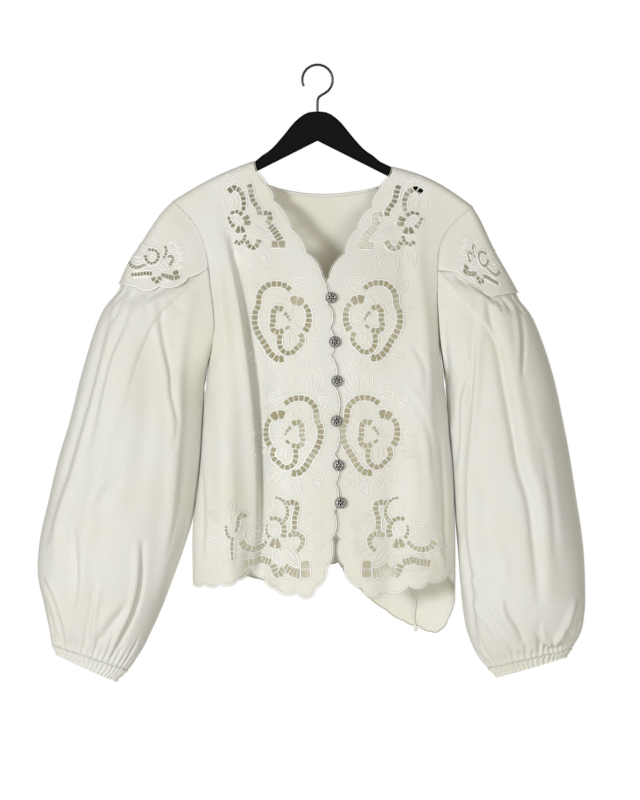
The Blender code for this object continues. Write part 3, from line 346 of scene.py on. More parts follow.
SHOULDER_SPRAY = Design(
    chains=rows_of(
        Chain,
        (((-30, 35), (-22, 41), (-14, 36.4), (-9.8, 28.5), (-8.6, 20), (-9.4, 9)), 7, 7.6, 4.4),
        (((-1.6, 46), (1.2, 35), (2.6, 27), (4.4, 22), (8, 17), (12.6, 9), (12.6, 3)), 7, 6.2, 6.0),
        (((17, 6), (26, 5.4), (26.6, -3), (23, -10)), 4, 5.6, 7.4),
        (((27, -11), (32, -17), (36.6, -23.6), (41, -31.4)), 5, 8.0, 9.6),
        (((28.6, -36.4), (38, -36.8), (48, -36)), 2, 8.2, 9.0),
        (((-27, 5.6), (-18, 8.2), (-10, 4)), 3, 3.2, 5.6),
        (((-7.6, 2.4), (-3.8, -4), (-4, -11)), 2, 8.4, 8.0),
        (((-30, 2), (-27, -5.5), (-21.6, -13)), 3, 2.4, 6.0),
        (((-19, -14.6), (-13, -17), (-7.6, -14.4)), 2, 9.4, 8.6),
        (((-21, -31.6), (-14.4, -35), (-9, -31), (-6, -23)), 5, 5.6, 3.6),
        (((-5, -31), (-0.6, -39), (5.6, -41), (10.4, -36.4), (13.4, -30)), 5, 5.6, 6.6),
    ),
    leaves=rows_of(Leaf, (-1, -4, 321, 42, 22), (-21, 12, 98, 21, 10), (-18, 47, 147, 19, 10),
            (-14, -38, 264, 32, 12), (-1, -44, 270, 32, 13), (13, -38, 289, 36, 17),
            (16, 3, 185, 16, 8), (-27, 3, 322, 24, 9)),
    stitches=rows_of(Stitch, (6, -10, 322, 20), (-23, 15, 100, 12), (20, -52, 284, 12)),
    lines=(((-34, 10), (-37, 30), (-35, 43), (-28, 47), (-18, 46)), ((-16, 49), (-8, 55), (0, 51), (3, 42)),
           ((-4, 30), (-5, 18), (-3, 8)), ((16, -33), (28, -31), (34, -31))),
)
HEM_SPRAY = Design(
    chains=rows_of(
        Chain,
        (((-9.6, 46.4), (-18, 48.6), (-25, 46.6), (-25.8, 38), (-23.4, 31), (-22.4, 23), (-22.8, 15),
         (-20.6, 8), (-13.6, 2.6)), 10, 7.2, 5.2),
        (((5.4, 55), (-3.6, 52.6), (-9.8, 46.4), (-12.6, 38), (-12, 30), (-6, 21.4)), 9, 2.6, 5.0),
        (((13.4, 26), (4.7, 26.8), (-2.2, 23.8), (-7.1, 17), (-8, 9), (-6, 1)), 7, 4.6, 7.6),
        (((-1.6, -5.6), (5, -7.8), (11.6, -4.4)), 2, 12.4, 11.4),
        (((13, 0), (16.6, 6), (17.6, 12), (16.4, 18.6)), 4, 5.4, 2.0),
        (((-19, 5.6), (-27.4, 5.6), (-33.4, 1), (-33.8, -6.3), (-30, -13.4), (-25.6, -17)),
         7, 6.8, 5.0),
        (((17, -4), (23.3, -10.4), (30.5, -14), (39.8, -14.6), (48.1, -11.4), (53.4, -4)), 8, 4.4, 8.8),
        (((-37.6, -29.6), (-38, -41), (-38, -53)), 2, 10.0, 12.0),
        (((-30.6, -47.6), (-24, -46.4), (-17, -43.6), (-8, -37)), 5, 12.4, 9.4),
        (((-7, -40), (-3, -46), (2, -49), (5.4, -43), (8.4, -35)), 5, 8.6, 9.2),
        (((10.6, -33), (17, -31), (24.3, -29), (31.5, -31.4), (39.8, -32.6), (48, -34.2)), 8, 8.4, 8.2),
    ),
    leaves=rows_of(Leaf, (-25, 24, 153, 32, 14), (-25, 8, 162, 40, 16), (-29, -19, 163, 38, 16),
            (-2, -2, 233, 46, 15), (5, -13, 261, 30, 12), (20, 9, 2, 25, 13),
            (-2, 20, 300, 20, 9), (60, -9, 350, 16, 9)),
    stitches=rows_of(Stitch, (4, 14, 284, 12), (-14, -16, 233, 18), (-36, 29, 153, 8)),
    lines=(((14, 29), (24, 22), (38, 20), (52, 14), (62, 3), (63, -8), (57, -16)),
           ((20, 1), (34, -3), (46, -2), (50, 6), (46, 14)),
           ((12, -24), (40, -22), (56, -17), (63, -28), (63, -38), (50, -39)), ((8, 52), (10, 40), (20, 30)),
           ((-42, -56), (-20, -56), (-8, -52)), ((12, -43), (30, -42), (48, -41))),
)
CAP_SPRAY = Design(
    chains=rows_of(
        Chain,
        (((33.4, 13.4), (37, 0)), 2, 7.4, 7.4),
        (((32, 2.6), (24.9, 4.1), (20.2, 5.7), (15, 7.4)), 5, 6.8, 5.6),
        (((13.6, 5), (11, -1), (7, -1.6), (4, 4)), 3, 6.2, 6.0),
        (((3, 8.4), (-6.6, 9), (-14, 7.8), (-25, 7.2)), 7, 5.2, 4.2),
        (((-3, 41), (3, 41.2), (9, 38.6), (11.4, 33), (10, 28), (6.8, 24), (2.4, 22.4), (-2.4, 24.4),
         (-5.2, 28.4), (-6.4, 34.4)), 11, 3.2, 3.8),
        (((-4, 22), (-8.7, 20), (-13, 18), (-19, 17), (-24.4, 20), (-28, 25)), 8, 3.0, 5.4),
        (((19.6, 46.6), (22, 40.3), (20.8, 35), (17.6, 29)), 4, 2.8, 2.8),
        (((23, 31.6), (28.4, 32.4), (31, 28.8), (28.8, 24), (26.6, 19.6)), 6, 2.8, 4.6),
    ),
    leaves=rows_of(Leaf, (10, 28, 309, 25, 11), (23, 44, 42, 15, 5), (26, 41, 36, 17, 5),
            (29, 37, 30, 17, 5), (32, 32, 22, 15, 5), (33, 27, 10, 15, 6),
            (32, 20, 350, 14, 6),
            (-8, 28, 168, 20, 9), (-4, 42, 150, 16, 7)),
    stitches=rows_of(Stitch, (12, 25, 309, 14), (-10, 30, 168, 12), (0, 32, 20, 7)),
    lines=(((-26, 11), (-30, 4), (-24, -3)), ((-22, 2), (-8, 3), (2, 1)), ((12, -5), (22, -2), (34, -4))),
)
SIDE_SPRAY = Design(
    chains=rows_of(
        Chain,
        (((7, 18), (9, 28), (13, 33), (17, 28)), 4, 4.4, 5.0),
        (((4, 8), (6, 14), (8, 20)), 2, 3.4, 4.0),
        (((0, 2), (-1, -12), (0, -30)), 5, 3.8, 2.4),
        (((-9, 18), (-8, 8), (-4, 0)), 4, 2.6, 4.2),
    ),
    leaves=rows_of(Leaf, (-14, 4, 200, 22, 12), (-16, 24, 150, 22, 12), (0, 36, 100, 18, 10),
            (4, -12, 320, 22, 12), (-2, -20, 225, 20, 10)),
    stitches=rows_of(Stitch, (-2, 20, 100, 12), (8, -2, 330, 8)),
    lines=(((-26, -8), (-20, -24), (-6, -36)), ((14, -30), (20, -14), (22, 2))),
)
LEAF_SPRAY = Design(
    chains=(),
    leaves=rows_of(Leaf, (10.5, 58, 111, 28, 14), (24.4, 54, 75, 38, 21), (-3.4, 52, 141, 28, 15),
            (-33, 38, 143, 20, 13), (28, 44, 340, 17, 13), (14.6, -58, 255, 27, 12),
            (28, -53, 291, 26, 17), (-5.6, -58, 240, 20, 11), (-45, 0, 170, 18, 12),
            (-42, -22, 200, 20, 13)),
    stitches=rows_of(Stitch, (29, 60, 62, 12), (24, 64, 92, 10), (31, 56, 40, 8),
              (12, -70, 240, 8), (33, -62, 300, 10)),
    lines=(),
)
Motif = namedtuple("Motif", "design x drop flip stretch slope", defaults=(1.0, 0.0))
MOTIFS = {
    LEFT: (Motif(SHOULDER_SPRAY, -91, 206.6, 1), Motif(FLOWER, -48.6, 347, 1),
           Motif(FLOWER, -31.5, 500.9, -1), Motif(HEM_SPRAY, -52, 640, -1, 0.95),
           Motif(SIDE_SPRAY, -114, 640, 1), Motif(LEAF_SPRAY, -31.5, 500.9, 1)),
    RIGHT: (Motif(SHOULDER_SPRAY, 108.5, 208, -1, 1.12), Motif(FLOWER, 75.6, 345.6, -1),
            Motif(FLOWER, 70.5, 500.3, 1), Motif(HEM_SPRAY, 104.6, 640, 1),
           Motif(LEAF_SPRAY, 73, 500.3, -1)),
}
CAP_MOTIF = {LEFT: Motif(CAP_SPRAY, -226, 292, 1), RIGHT: Motif(CAP_SPRAY, 226, 296, -1, 0.72, 0.33)}
ROW_SHARE = 0.87             # distance between two rows of a panel's mesh, as a share of its step
RIM_CLEAR = 0.75             # stitching keeps this far from a cell's rim
EDGE_CLEAR = 3.6             # stitching keeps this far from a panel's edge
RAIL_CLEAR = 1.5             # a rail runs this far beside its cells
DOUBLE_LEAF = 10             # leaves wider than this have a second outline

# Finishes of cotton and thread: colours by their setting, pitch as a share of the weave's, and the rest
Finish = namedtuple("Finish", "color second pitch_share bump roughness sheen")
FINISHES = {
    "ivory_cotton": Finish("color", "warm_color", 1, 0.35, 0.88, 0.12),
    "inside_cotton_painted_glow": Finish("color", "warm_color", 1, 0.4, 0.9, 0.12),
    "ivory_thread": Finish("thread_color", "color", 0.55 / 0.6, 0.5, 0.6, 0.25),
    "binding_cotton": Finish("warm_color", "color", 1, 0.4, 0.85, 0.15),
}
# Painted shade: colour that darkens the low flanks of raised stitching, where shadow lines fall beside it
PAINTED_FLANK_SHADE = (0.26, 0.24, 0.17)
PAINTED_GLOW_STRENGTH = 0.17            # strength and colour of a painted glow on the inner face of the back and caps, standing in for light that the fronts let through
PAINTED_GLOW_COLOR = (1.0, 0.89, 0.52)

# Finishes of the hanger and its hook: name, colour, metal, roughness, grain and relief
HANGER_FINISHES = {
    "hanger": ("satin_black", (0.0005, 0.0009, 0.0009), 0.0, 0.42, 220.0, 0.05),
    "hanger_hook": ("dark_wire", (0.05, 0.05, 0.05), 1.0, 0.3, 400.0, 0.1),
}

# Seams drawn on the cloth: darts at the bust, as x and drop
DARTS = {
    LEFT: ((-150, 428), (-121, 401), (-116, 387), (-96, 379)),
    RIGHT: ((169, 428), (142, 404), (134, 392), (112, 384)),
}

LIGHT_AIM = (0, 0, -0.45)
CAMERA_X, CAMERA_Z = 0.0034, -0.4536

# Soft lights: place in metres, size, share of the key's power and colour
LIGHTS = (
    ("key", (-2.8, -4.3, -0.25), 0.9, 1.0, (0.98, 0.99, 1.0)),
    ("fill", (1.2, -5.1, -0.9), 2.2, 0.64, (1.0, 0.97, 0.89)),
    ("behind", (1.8, 4.6, -0.2), 2.4, 0.9, (1.0, 0.98, 0.94)),
)

# Buttons and tie
BUTTON_PLACES = ((18.6, 315.9), (23.2, 375.3), (26.3, 428), (25.7, 482), (28.5, 541.8), (31.2, 592.1))
BUTTON_GAP, CAD_WALL = 0.3, 1.2
BUTTON_SPOKES, BUTTON_RINGS = 88, 30
TIE_ROUTE = ((130, 700), (131, 712), (133.5, 725), (133, 738), (131.5, 750), (134, 762))
TIE_RADIUS, KNOT_RADIUS, TIE_POINTS = 1.5, 3.4, 12

# Half sections of threads: how far aside and how high, as shares of their width and height
ARCH = ((-1.2, -0.5), (-0.85, 0.3), (-0.45, 0.85), (0, 1), (0.45, 0.85), (0.85, 0.3), (1.2, -0.5))
ROUND = tuple((-math.cos(math.radians(a)), math.sin(math.radians(a))) for a in range(0, 360, 60))


def smooth(low, high, value):
    """Ease from 0 at low to 1 at high."""
    part = np.clip((np.asarray(value, float) - low) / (high - low), 0, 1)
    return part * part * (3 - 2 * part)


def through(rows, at):
    """Smooth curve through the (place, value) rows, level beyond both ends."""
    place, value = np.array(rows, float).T
    slope = np.gradient(value, place)
    at = np.clip(np.asarray(at, float), place[0], place[-1])
    i = np.clip(np.searchsorted(place, at, side="right") - 1, 0, len(place) - 2)
    step = place[i + 1] - place[i]
    s = (at - place[i]) / step
    return ((1 + 2 * s) * (1 - s) ** 2 * value[i] + s * (1 - s) ** 2 * step * slope[i]
            + s * s * (3 - 2 * s) * value[i + 1] + s * s * (s - 1) * step * slope[i + 1])


def along_line(points, at=None, step=2.0):
    """Places on a smooth line through the points, at the given lengths or every step."""
    points = np.array(points, float)
    spread = np.concatenate(([0], np.cumsum(np.linalg.norm(np.diff(points, axis=0), axis=1))))
    if at is None:
        at = np.linspace(0, spread[-1], max(3, int(spread[-1] / step) + 1))
    return np.stack([through(list(zip(spread, column)), at) for column in points.T], axis=-1)


def line_length(points):
    """Length of a line through the points."""
    return float(np.linalg.norm(np.diff(np.array(points, float), axis=0), axis=1).sum())


def unit(vectors):
    """Vectors of length one along the given ones."""
    return vectors / np.maximum(np.linalg.norm(vectors, axis=-1, keepdims=True), 1e-6)


def left_of(run):
    """Directions of length one to the left of flat ones."""
    run = unit(run)
    return np.stack((-run[:, 1], run[:, 0]), axis=-1)


def shoulder_drop(x):
    """Drop of the shoulder line at x, with the rise of its cloth between neck and sleeve."""
    x = np.asarray(x, float)
    rise = 0.0
    for side, (start, end, height) in SHOULDER_RISE.items():
        rise = rise + height * np.sin(math.pi * np.clip((side * x - start) / (end - start), 0, 1))
    return SHOULDER_TOP + SHOULDER_SLOPE * np.sqrt(x ** 2 + SHOULDER_SOFT ** 2) - rise


def half_width(x, drop):
    """Half width of the body on the side of x."""
    return np.where(np.asarray(x) < 0, through(HALF_WIDTH[LEFT], drop), through(HALF_WIDTH[RIGHT], drop))


def side_curve():
    """Length along a body section against its x, both as shares of the half width."""
    angle = np.linspace(0, math.pi / 2, 1500)
    x = np.sin(angle) ** (2 / SIDE_POWER)
    y = 0.3 * np.cos(angle) ** (2 / SIDE_POWER)
    length = np.concatenate(([0], np.cumsum(np.hypot(np.diff(x), np.diff(y)))))
    return length, x


SIDE_LENGTH, SIDE_X = side_curve()


def flat_place(x, drop):
    """Place on the flat cloth of a body point seen at x and drop."""
    x, drop = np.asarray(x, float), np.asarray(drop, float)
    width = half_width(x, drop)
    across = np.sign(x) * width * np.interp(np.abs(x) / width, SIDE_X, SIDE_LENGTH)
    line = shoulder_drop(x)
    below = np.clip(drop - line, 0, SHOULDER_ROLL)
    roll = SHOULDER_ROLL * np.arccos(1 - below / SHOULDER_ROLL)
    down = np.where(drop - line < SHOULDER_ROLL, line - ROLL_SLACK + roll, drop)
    return np.stack((across, down), axis=-1)


def body_surface(face, flat):
    """Middle surface of the front or the back at flat places."""
    across, down = flat[..., 0], flat[..., 1]
    width = half_width(across, down)
    share = np.interp(np.abs(across) / width, SIDE_LENGTH, SIDE_X)
    x = np.sign(across) * width * share
    round_off = np.clip(1 - share ** SIDE_POWER, 0, 1) ** (1 / SIDE_POWER)
    line = shoulder_drop(x)
    along = np.maximum(down - line + ROLL_SLACK, 0)
    rolled = np.clip(along / SHOULDER_ROLL, 0, math.pi / 2)
    drop = np.where(along < SHOULDER_ROLL * math.pi / 2, line + SHOULDER_ROLL * (1 - np.cos(rolled)), down)
    keep = 1 - smooth(30, 150, along)
    depth = SHOULDER_ROLL * np.sin(rolled) * (round_off + (1 - round_off) * keep)
    full = FRONT_DEPTH if face == FRONT else BACK_DEPTH
    depth = depth + full * smooth(0, BODY_FILL, along - SHOULDER_ROLL) * round_off
    y = face * (HALF_SEAM + depth)
    for fold in FOLDS[face]:
        away = (x - through(fold.path, down)) / fold.width
        y = y - face * through(fold.depth, down) * np.exp(-away * away) * np.minimum(1, 1.3 * round_off)
    return np.stack((x, y, drop), axis=-1)


def body_point(face, flat, lift=0.0):
    """Points (x, y, drop) of the body at flat places; lift moves them out of the cloth."""
    flat = np.asarray(flat, float)
    points = body_surface(face, flat)
    if np.any(lift):
        across = body_surface(face, flat + (0.5, 0)) - body_surface(face, flat - (0.5, 0))
        down = body_surface(face, flat + (0, 0.5)) - body_surface(face, flat - (0, 0.5))
        points = points + unit(np.cross(across, down) * -face) * np.reshape(lift, (-1, 1))
    return points


def crease_lift(rows, flat, to_place=None):
    """Height that the soft creases add at flat places."""
    total = np.zeros(len(flat))
    for row in rows:
        path = np.array(row.path, float)
        path = along_line(to_place(path) if to_place else path, step=8.0)
        reach = 5 * row.width if row.flank else 3 * row.width
        low, high = path.min(axis=0) - reach, path.max(axis=0) + reach
        near = np.nonzero(((flat > low) & (flat < high)).all(axis=1))[0]
        if not len(near):
            continue
        best = np.full(len(near), 1e9)
        aside, where = np.zeros(len(near)), np.zeros(len(near))
        for i, (start, end) in enumerate(zip(path, path[1:])):
            run = end - start
            part = np.clip((flat[near] - start) @ run / (run @ run), 0, 1)
            off = flat[near] - start - part[:, None] * run
            away = np.linalg.norm(off, axis=1)
            closer = away < best
            best[closer] = away[closer]
            aside[closer] = (away * np.sign(off @ (-run[1], run[0])))[closer]
            where[closer] = (i + part[closer]) / (len(path) - 1)
        shape = row.height * np.exp(-(best / row.width) ** 2)
        if row.flank:
            beside = (np.sign(row.flank) * aside / row.width - 2.1) / 1.4
            shape = shape + abs(row.flank) * np.exp(-beside * beside)
        total[near] += shape * np.sin(math.pi * where) ** 0.6
    return total


def seam_ease(flat):
    """1 on the open cloth, 0 at the side seams and shoulders, where creases die out."""
    across, down = flat[:, 0], flat[:, 1]
    from_side = half_width(across, down) * SIDE_LENGTH[-1] - np.abs(across)
    from_shoulder = down - shoulder_drop(across)
    return smooth(2, 14, from_side) * smooth(8, 40, from_shoulder)


def front_point(side, flat, lift=0.0):
    """Points of a front; the upper one lies over the lower one along the closure."""
    flat = np.asarray(flat, float)
    points = body_point(FRONT, flat,
                        lift + crease_lift(CREASES[side], flat, to_flat) * seam_ease(flat) + 1e-9)
    if side == LEFT:
        over = smooth(*OVERLAP_X, points[..., 0]) * smooth(*OVERLAP_DROP, points[..., 2])
        points[..., 1] -= OVERLAP_LIFT * over
    return points


def back_point(flat, lift=0.0):
    """Points of the back, with its creases."""
    flat = np.asarray(flat, float)
    return body_point(BACK, flat,
                      lift + crease_lift(CREASES["back"], flat, to_flat) * seam_ease(flat) + 1e-9)


def armhole_place(side, turn, inset=0.0):
    """x and drop of the armhole seam at a turn of the sleeve."""
    rows = ARMHOLE[side]
    middle, half = (rows[0][0] + rows[-1][0]) / 2, (rows[-1][0] - rows[0][0]) / 2
    drop = middle - half * np.cos(turn)
    return through(rows, drop) - side * inset, drop


def armhole_point(side, turn):
    """Point of the armhole seam at a turn; positive turns are on the front."""
    x, drop = armhole_place(side, turn)
    flat = flat_place(x, drop)
    front, back = body_point(FRONT, flat), body_point(BACK, flat)
    point = np.where(np.sin(turn)[..., None] >= 0, front, back)
    point[..., 0] += side * UNDERARM_CLEAR * smooth(0.5, 0.95, -np.cos(turn))
    return point


def ring_reaches(side):
    """How far down the outer line each ring of a sleeve lies."""
    outer = np.array([(ring.out_x, ring.out_drop) for ring in SLEEVE_RINGS[side]])
    return np.concatenate(([0], np.cumsum(np.hypot(*np.diff(outer, axis=0).T))))


REACHES = {side: ring_reaches(side) for side in (LEFT, RIGHT)}


def plain_ring(side, turn, reach):
    """Point of the smooth sleeve before the armhole's own curve is added."""
    out_x, out_drop, in_x, in_drop, depth = (
        through(list(zip(REACHES[side], column)), reach) for column in zip(*SLEEVE_RINGS[side]))
    cos, sin = np.cos(turn), np.sin(turn)
    x = (out_x + in_x) / 2 + (out_x - in_x) / 2 * cos
    drop = (out_drop + in_drop) / 2 + (out_drop - in_drop) / 2 * cos
    y = -depth * sin * np.where(sin < 0, SLEEVE_BACK_SHARE, 1)
    return np.stack((x, y, drop), axis=-1)


def sleeve_surface(side, turn, reach):
    """Middle surface of a sleeve, which starts on the armhole seam."""
    turn, reach = np.broadcast_arrays(np.asarray(turn, float), np.asarray(reach, float))
    start = armhole_point(side, turn) - plain_ring(side, turn, np.zeros_like(turn))
    return plain_ring(side, turn, reach) + start * (1 - smooth(0, ARMHOLE_FADE, reach))[..., None]


def sleeve_point(side, turn, reach, lift=0.0):
    """Point of a sleeve, moved out of its surface by lift."""
    turn, reach = np.broadcast_arrays(np.asarray(turn, float), np.asarray(reach, float))
    round_it = sleeve_surface(side, turn + 0.01, reach) - sleeve_surface(side, turn - 0.01, reach)
    along = sleeve_surface(side, turn, reach + 0.5) - sleeve_surface(side, turn, np.maximum(reach - 0.5, 0))
    normal = unit(np.cross(round_it, along) * -side)
    return sleeve_surface(side, turn, reach) + normal * np.broadcast_to(lift, turn.shape)[..., None]


def sleeve_places(side, seen):
    """Turns and reaches of front points of a sleeve that are seen at (x, drop)."""
    seen = np.asarray(seen, float)
    turn, reach = np.full(len(seen), 0.8), np.full(len(seen), 80.0)
    for _ in range(30):
        here = sleeve_surface(side, turn, reach)[:, [0, 2]]
        if np.abs(seen - here).max() < 0.03:
            break
        by_turn = (sleeve_surface(side, turn + 0.01, reach)[:, [0, 2]] - here) / 0.01
        by_reach = (sleeve_surface(side, turn, reach + 0.5)[:, [0, 2]] - here) / 0.5
        short = seen - here
        det = by_turn[:, 0] * by_reach[:, 1] - by_turn[:, 1] * by_reach[:, 0]
        det = np.where(np.abs(det) < 1e-3, 1e-3, det)
        step_turn = (short[:, 0] * by_reach[:, 1] - short[:, 1] * by_reach[:, 0]) / det
        step_reach = (by_turn[:, 0] * short[:, 1] - by_turn[:, 1] * short[:, 0]) / det
        turn = np.clip(turn + np.clip(step_turn, -0.2, 0.2), 0.05, 1.5)
        reach = np.clip(reach + np.clip(step_reach, -15, 15), 0.5, 200)
    return np.stack((turn, reach), axis=-1)


def scalloped(cusps, side, per_scallop=SCALLOP_POINTS):
    """Outline through the cusps, with a round scallop between each two, bulging away from the panel."""
    outline = []
    for start, end in zip(cusps, cusps[1:]):
        run = np.array((end.x - start.x, end.drop - start.drop))
        out = np.array((run[1], -run[0])) * side / np.linalg.norm(run)
        outline.append((start.x, start.drop))
        for i in range(1, per_scallop + 1):
            part = i / (per_scallop + 1)
            rise = start.bulge * math.sin(math.pi * part) ** SCALLOP_POWER
            outline.append(tuple(np.array((start.x, start.drop)) + run * part + out * rise))
    outline.append((cusps[-1].x, cusps[-1].drop))
    return outline


def chain_cells(chain):
    """Outline of each cut cell of a chain, round-cornered, in the motif's own millimetres."""
    length = line_length(chain.points)
    pitch = length / chain.cells
    angles = np.linspace(0, 2 * math.pi, CELL_POINTS, endpoint=False) + math.pi / CELL_POINTS
    u, v = (np.sign(way) * np.abs(way) ** CELL_CORNER for way in (np.cos(angles), np.sin(angles)))
    cells = []
    for i in range(chain.cells):
        at = (i + 0.5) * pitch + u * (pitch - min(BAR, BAR_SHARE * pitch)) / 2
        middle = along_line(chain.points, at)
        across = left_of(along_line(chain.points, at + 0.4) - along_line(chain.points, at - 0.4))
        width = np.interp(at, (0, length), (chain.start_width, chain.end_width))
        cells.append(middle + across * (v * width / 2 * CELL_WIDEN)[:, None])
    return cells


def leaf_outline(leaf, share=1.0):
    """Pointed leaf from its base to its tip and back, in the motif's own millimetres."""
    part = np.linspace(0, 1, 13)
    half = leaf.width / 2 * share * np.sin(math.pi * part ** 0.85) ** 0.8
    along = leaf.length * ((1 - share) * 0.55 + share * part)
    ring = np.concatenate((np.stack((along, half), axis=-1), np.stack((along, -half), axis=-1)[-2::-1]))
    return turned(ring, leaf.angle) + (leaf.x, leaf.up)


def turned(places, angle):
    """Places turned about the origin by an angle in degrees."""
    cos, sin = math.cos(math.radians(angle)), math.sin(math.radians(angle))
    return places @ np.array(((cos, sin), (-sin, cos)))


def placed(motif, places):
    """Motif places as x and drop."""
    across, up = np.asarray(places, float).T
    return np.stack((motif.x + motif.flip * motif.stretch * across,
                     motif.drop - up - motif.slope * across), axis=-1)


def inside(points, loop):
    """Whether each point lies in a closed loop."""
    x, y = points[:, 0], points[:, 1]
    result = np.zeros(len(points), bool)
    for (x0, y0), (x1, y1) in zip(loop, np.roll(loop, -1, axis=0)):
        if y0 != y1:
            crosses = (y0 > y) != (y1 > y)
            result ^= crosses & (x < (x1 - x0) * (y - y0) / (y1 - y0) + x0)
    return result


def signed_area(loop):
    """Twice the area of a loop, positive where its inside lies to the left of its run."""
    ahead = np.roll(loop, -1, axis=0)
    return float((loop[:, 0] * ahead[:, 1] - loop[:, 1] * ahead[:, 0]).sum())


def in_any(points, loops):
    """Whether each point lies in any of the small loops."""
    result = np.zeros(len(points), bool)
    for loop in loops:
        near = np.nonzero(((points >= loop.min(axis=0)) & (points <= loop.max(axis=0))).all(axis=1))[0]
        if len(near):
            result[near[inside(points[near], loop)]] = True
    return result


def cut_sheet(outline, holes, step):
    """Points and triangles of a flat cut with its holes, on a grid of the given step."""
    outline = np.asarray(outline, float)
    loops = [outline] + [np.asarray(hole, float) for hole in holes]
    fixed = np.concatenate(loops)
    low, high = outline.min(axis=0), outline.max(axis=0)
    grid = []
    for i, y in enumerate(np.arange(low[1] + step / 2, high[1], step * ROW_SHARE)):
        xs = np.arange(low[0] + step / 2 * (1 + i % 2), high[0], step)
        grid.append(np.stack((xs, np.full(len(xs), y)), axis=-1))
    grid = np.concatenate(grid)
    grid = grid[inside(grid, outline)]
    grid = grid[~in_any(grid, loops[1:])]
    grid = grid[far_from(fixed, 0.45 * step)(grid)]
    edges, start = [], 0
    for loop in loops:
        edges += [(start + i, start + (i + 1) % len(loop)) for i in range(len(loop))]
        start += len(loop)
    points = [Vector(point) for point in np.concatenate((fixed, grid))]
    points, _, faces = delaunay_2d_cdt(points, edges, [], 0, 1e-6)[:3]
    points, faces = np.array(points), np.array(faces)
    middle = points[faces].mean(axis=1)
    return points, faces[inside(middle, outline) & ~in_any(middle, loops[1:])]


def metres(points):
    """Blender places of (x, y, drop) points in millimetres."""
    return np.asarray(points, float) * (MM, MM, -MM)


def new_mesh(name, points, faces, uv=None):
    """Smooth mesh object from points in millimetres, with its cloth map where one is given."""
    mesh = bpy.data.meshes.new(name)
    mesh.from_pydata(metres(points).tolist(), [], [tuple(int(i) for i in face) for face in faces])
    if uv is not None:
        layer = mesh.uv_layers.new(name="cloth")
        index = np.empty(len(mesh.loops), int)
        mesh.loops.foreach_get("vertex_index", index)
        layer.data.foreach_set("uv", (np.asarray(uv, float)[index] * 0.01).ravel())
    mesh.shade_smooth()
    obj = bpy.data.objects.new(name, mesh)
    bpy.context.scene.collection.objects.link(obj)
    return obj


def add_values(obj, name, values):
    """Give each point of a piece a value that its finish reads."""
    layer = obj.data.attributes.new(name, "FLOAT", "POINT")
    layer.data.foreach_set("value", np.asarray(values, np.float32))


def face_outwards(obj):
    """Turn the faces of a closed piece outwards."""
    shell = bmesh.new()
    shell.from_mesh(obj.data)
    bmesh.ops.recalc_face_normals(shell, faces=shell.faces)
    shell.to_mesh(obj.data)
    shell.free()


def join_part(obj, material, node=None):
    """Finish a piece, which rides with the part and may stand for one of its solids."""
    obj.data.materials.append(material)
    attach(obj, "root")
    if node:
        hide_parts(node)


def cloth_shell(node, points, faces, uv, wall, finish="ivory_cotton"):
    """Thin cloth with a wall, which stands for a solid of the part."""
    used = np.unique(faces)
    renumber = np.zeros(len(points), int)
    renumber[used] = np.arange(len(used))
    obj = new_mesh(shell_name(node), points[used], renumber[faces], uv[used])
    solidify = obj.modifiers.new("wall", "SOLIDIFY")
    solidify.thickness = wall * MM
    solidify.offset = 0
    join_part(obj, cloth_finish(finish), node)
    return obj


def shell_name(node):
    """Name of the cloth piece that stands for a node."""
    return node + "_cloth"


def state_hung(points, faces, pieces):
    """Work out the size and area of a hung sheet's flat cut, and keep neither; the pieces are not used."""
    size_of(points)
    cloth_area(points, faces)


def state_gathered(points, faces):
    """Work out the area of a gathered sheet, and keep it nowhere."""
    area = cloth_area(points, faces)


def cloth_area(points, faces):
    """Area in square metres of faces between points in millimetres, flat or shaped."""
    points = np.pad(points, ((0, 0), (0, 3 - points.shape[1])))
    start, *others = (points[faces[:, i]] for i in range(faces.shape[1]))
    doubled = sum(np.linalg.norm(np.cross(one - start, two - start), axis=1).sum()
                  for one, two in zip(others, others[1:]))
    return float(doubled / 2 * MM * MM)


class Threads:
    """Threads laid on a cloth, gathered into one mesh."""

    def __init__(self):
        self.flat, self.lift, self.uv, self.crest, self.faces, self.count = [], [], [], [], [], 0

    def lay(self, path, width, height, section=ARCH, closed=False, taper=0.0, aside=0.0, base=0.35):
        """Lay a thread of a width and height along flat places, moved aside to the left of its run."""
        path = np.asarray(path, float)
        if len(path) < 2:
            return
        if closed:
            ahead, behind = np.roll(path, -1, axis=0), np.roll(path, 1, axis=0)
        else:
            ahead, behind = np.vstack((path[1:], path[-1:])), np.vstack((path[:1], path[:-1]))
        left = left_of(ahead - behind)
        length = np.concatenate(([0], np.cumsum(np.linalg.norm(np.diff(path, axis=0), axis=1))))
        size = np.ones(len(path))
        if taper:
            size = np.sqrt(np.clip(np.minimum(length, length[-1] - length) / taper, 0.04, 1))
        across, up = np.array(section).T
        rim = len(across)
        offset = aside + across[None] * width / 2 * size[:, None]
        self.flat.append((path[:, None] + left[:, None] * offset[..., None]).reshape(-1, 2))
        self.crest.append(np.tile(np.clip(up, 0, 1), len(path)))
        rise = up[None] * height * size[:, None]
        self.lift.append((rise + (base if section is ARCH else 0)).ravel())
        self.uv.append(np.stack(np.broadcast_arrays(length[:, None], across[None] * width / 2),
                                axis=-1).reshape(-1, 2))
        loop = section is not ARCH
        for i in range(len(path) if closed else len(path) - 1):
            one, two = self.count + i * rim, self.count + (i + 1) % len(path) * rim
            for j in range(rim if loop else rim - 1):
                k = (j + 1) % rim
                self.faces.append((one + j, one + k, two + k, two + j))
        self.count += len(path) * rim

    def make(self, name, place, slot="cotton"):
        """Join all the threads into one piece on the cloth that place describes."""
        points = place(np.concatenate(self.flat), np.concatenate(self.lift))
        obj = new_mesh(name, points, self.faces, np.concatenate(self.uv))
        add_values(obj, "crest", np.concatenate(self.crest))
        face_outwards(obj)
        obj.data.shade_smooth()
        join_part(obj, cloth_finish("ivory_thread"))
        return obj


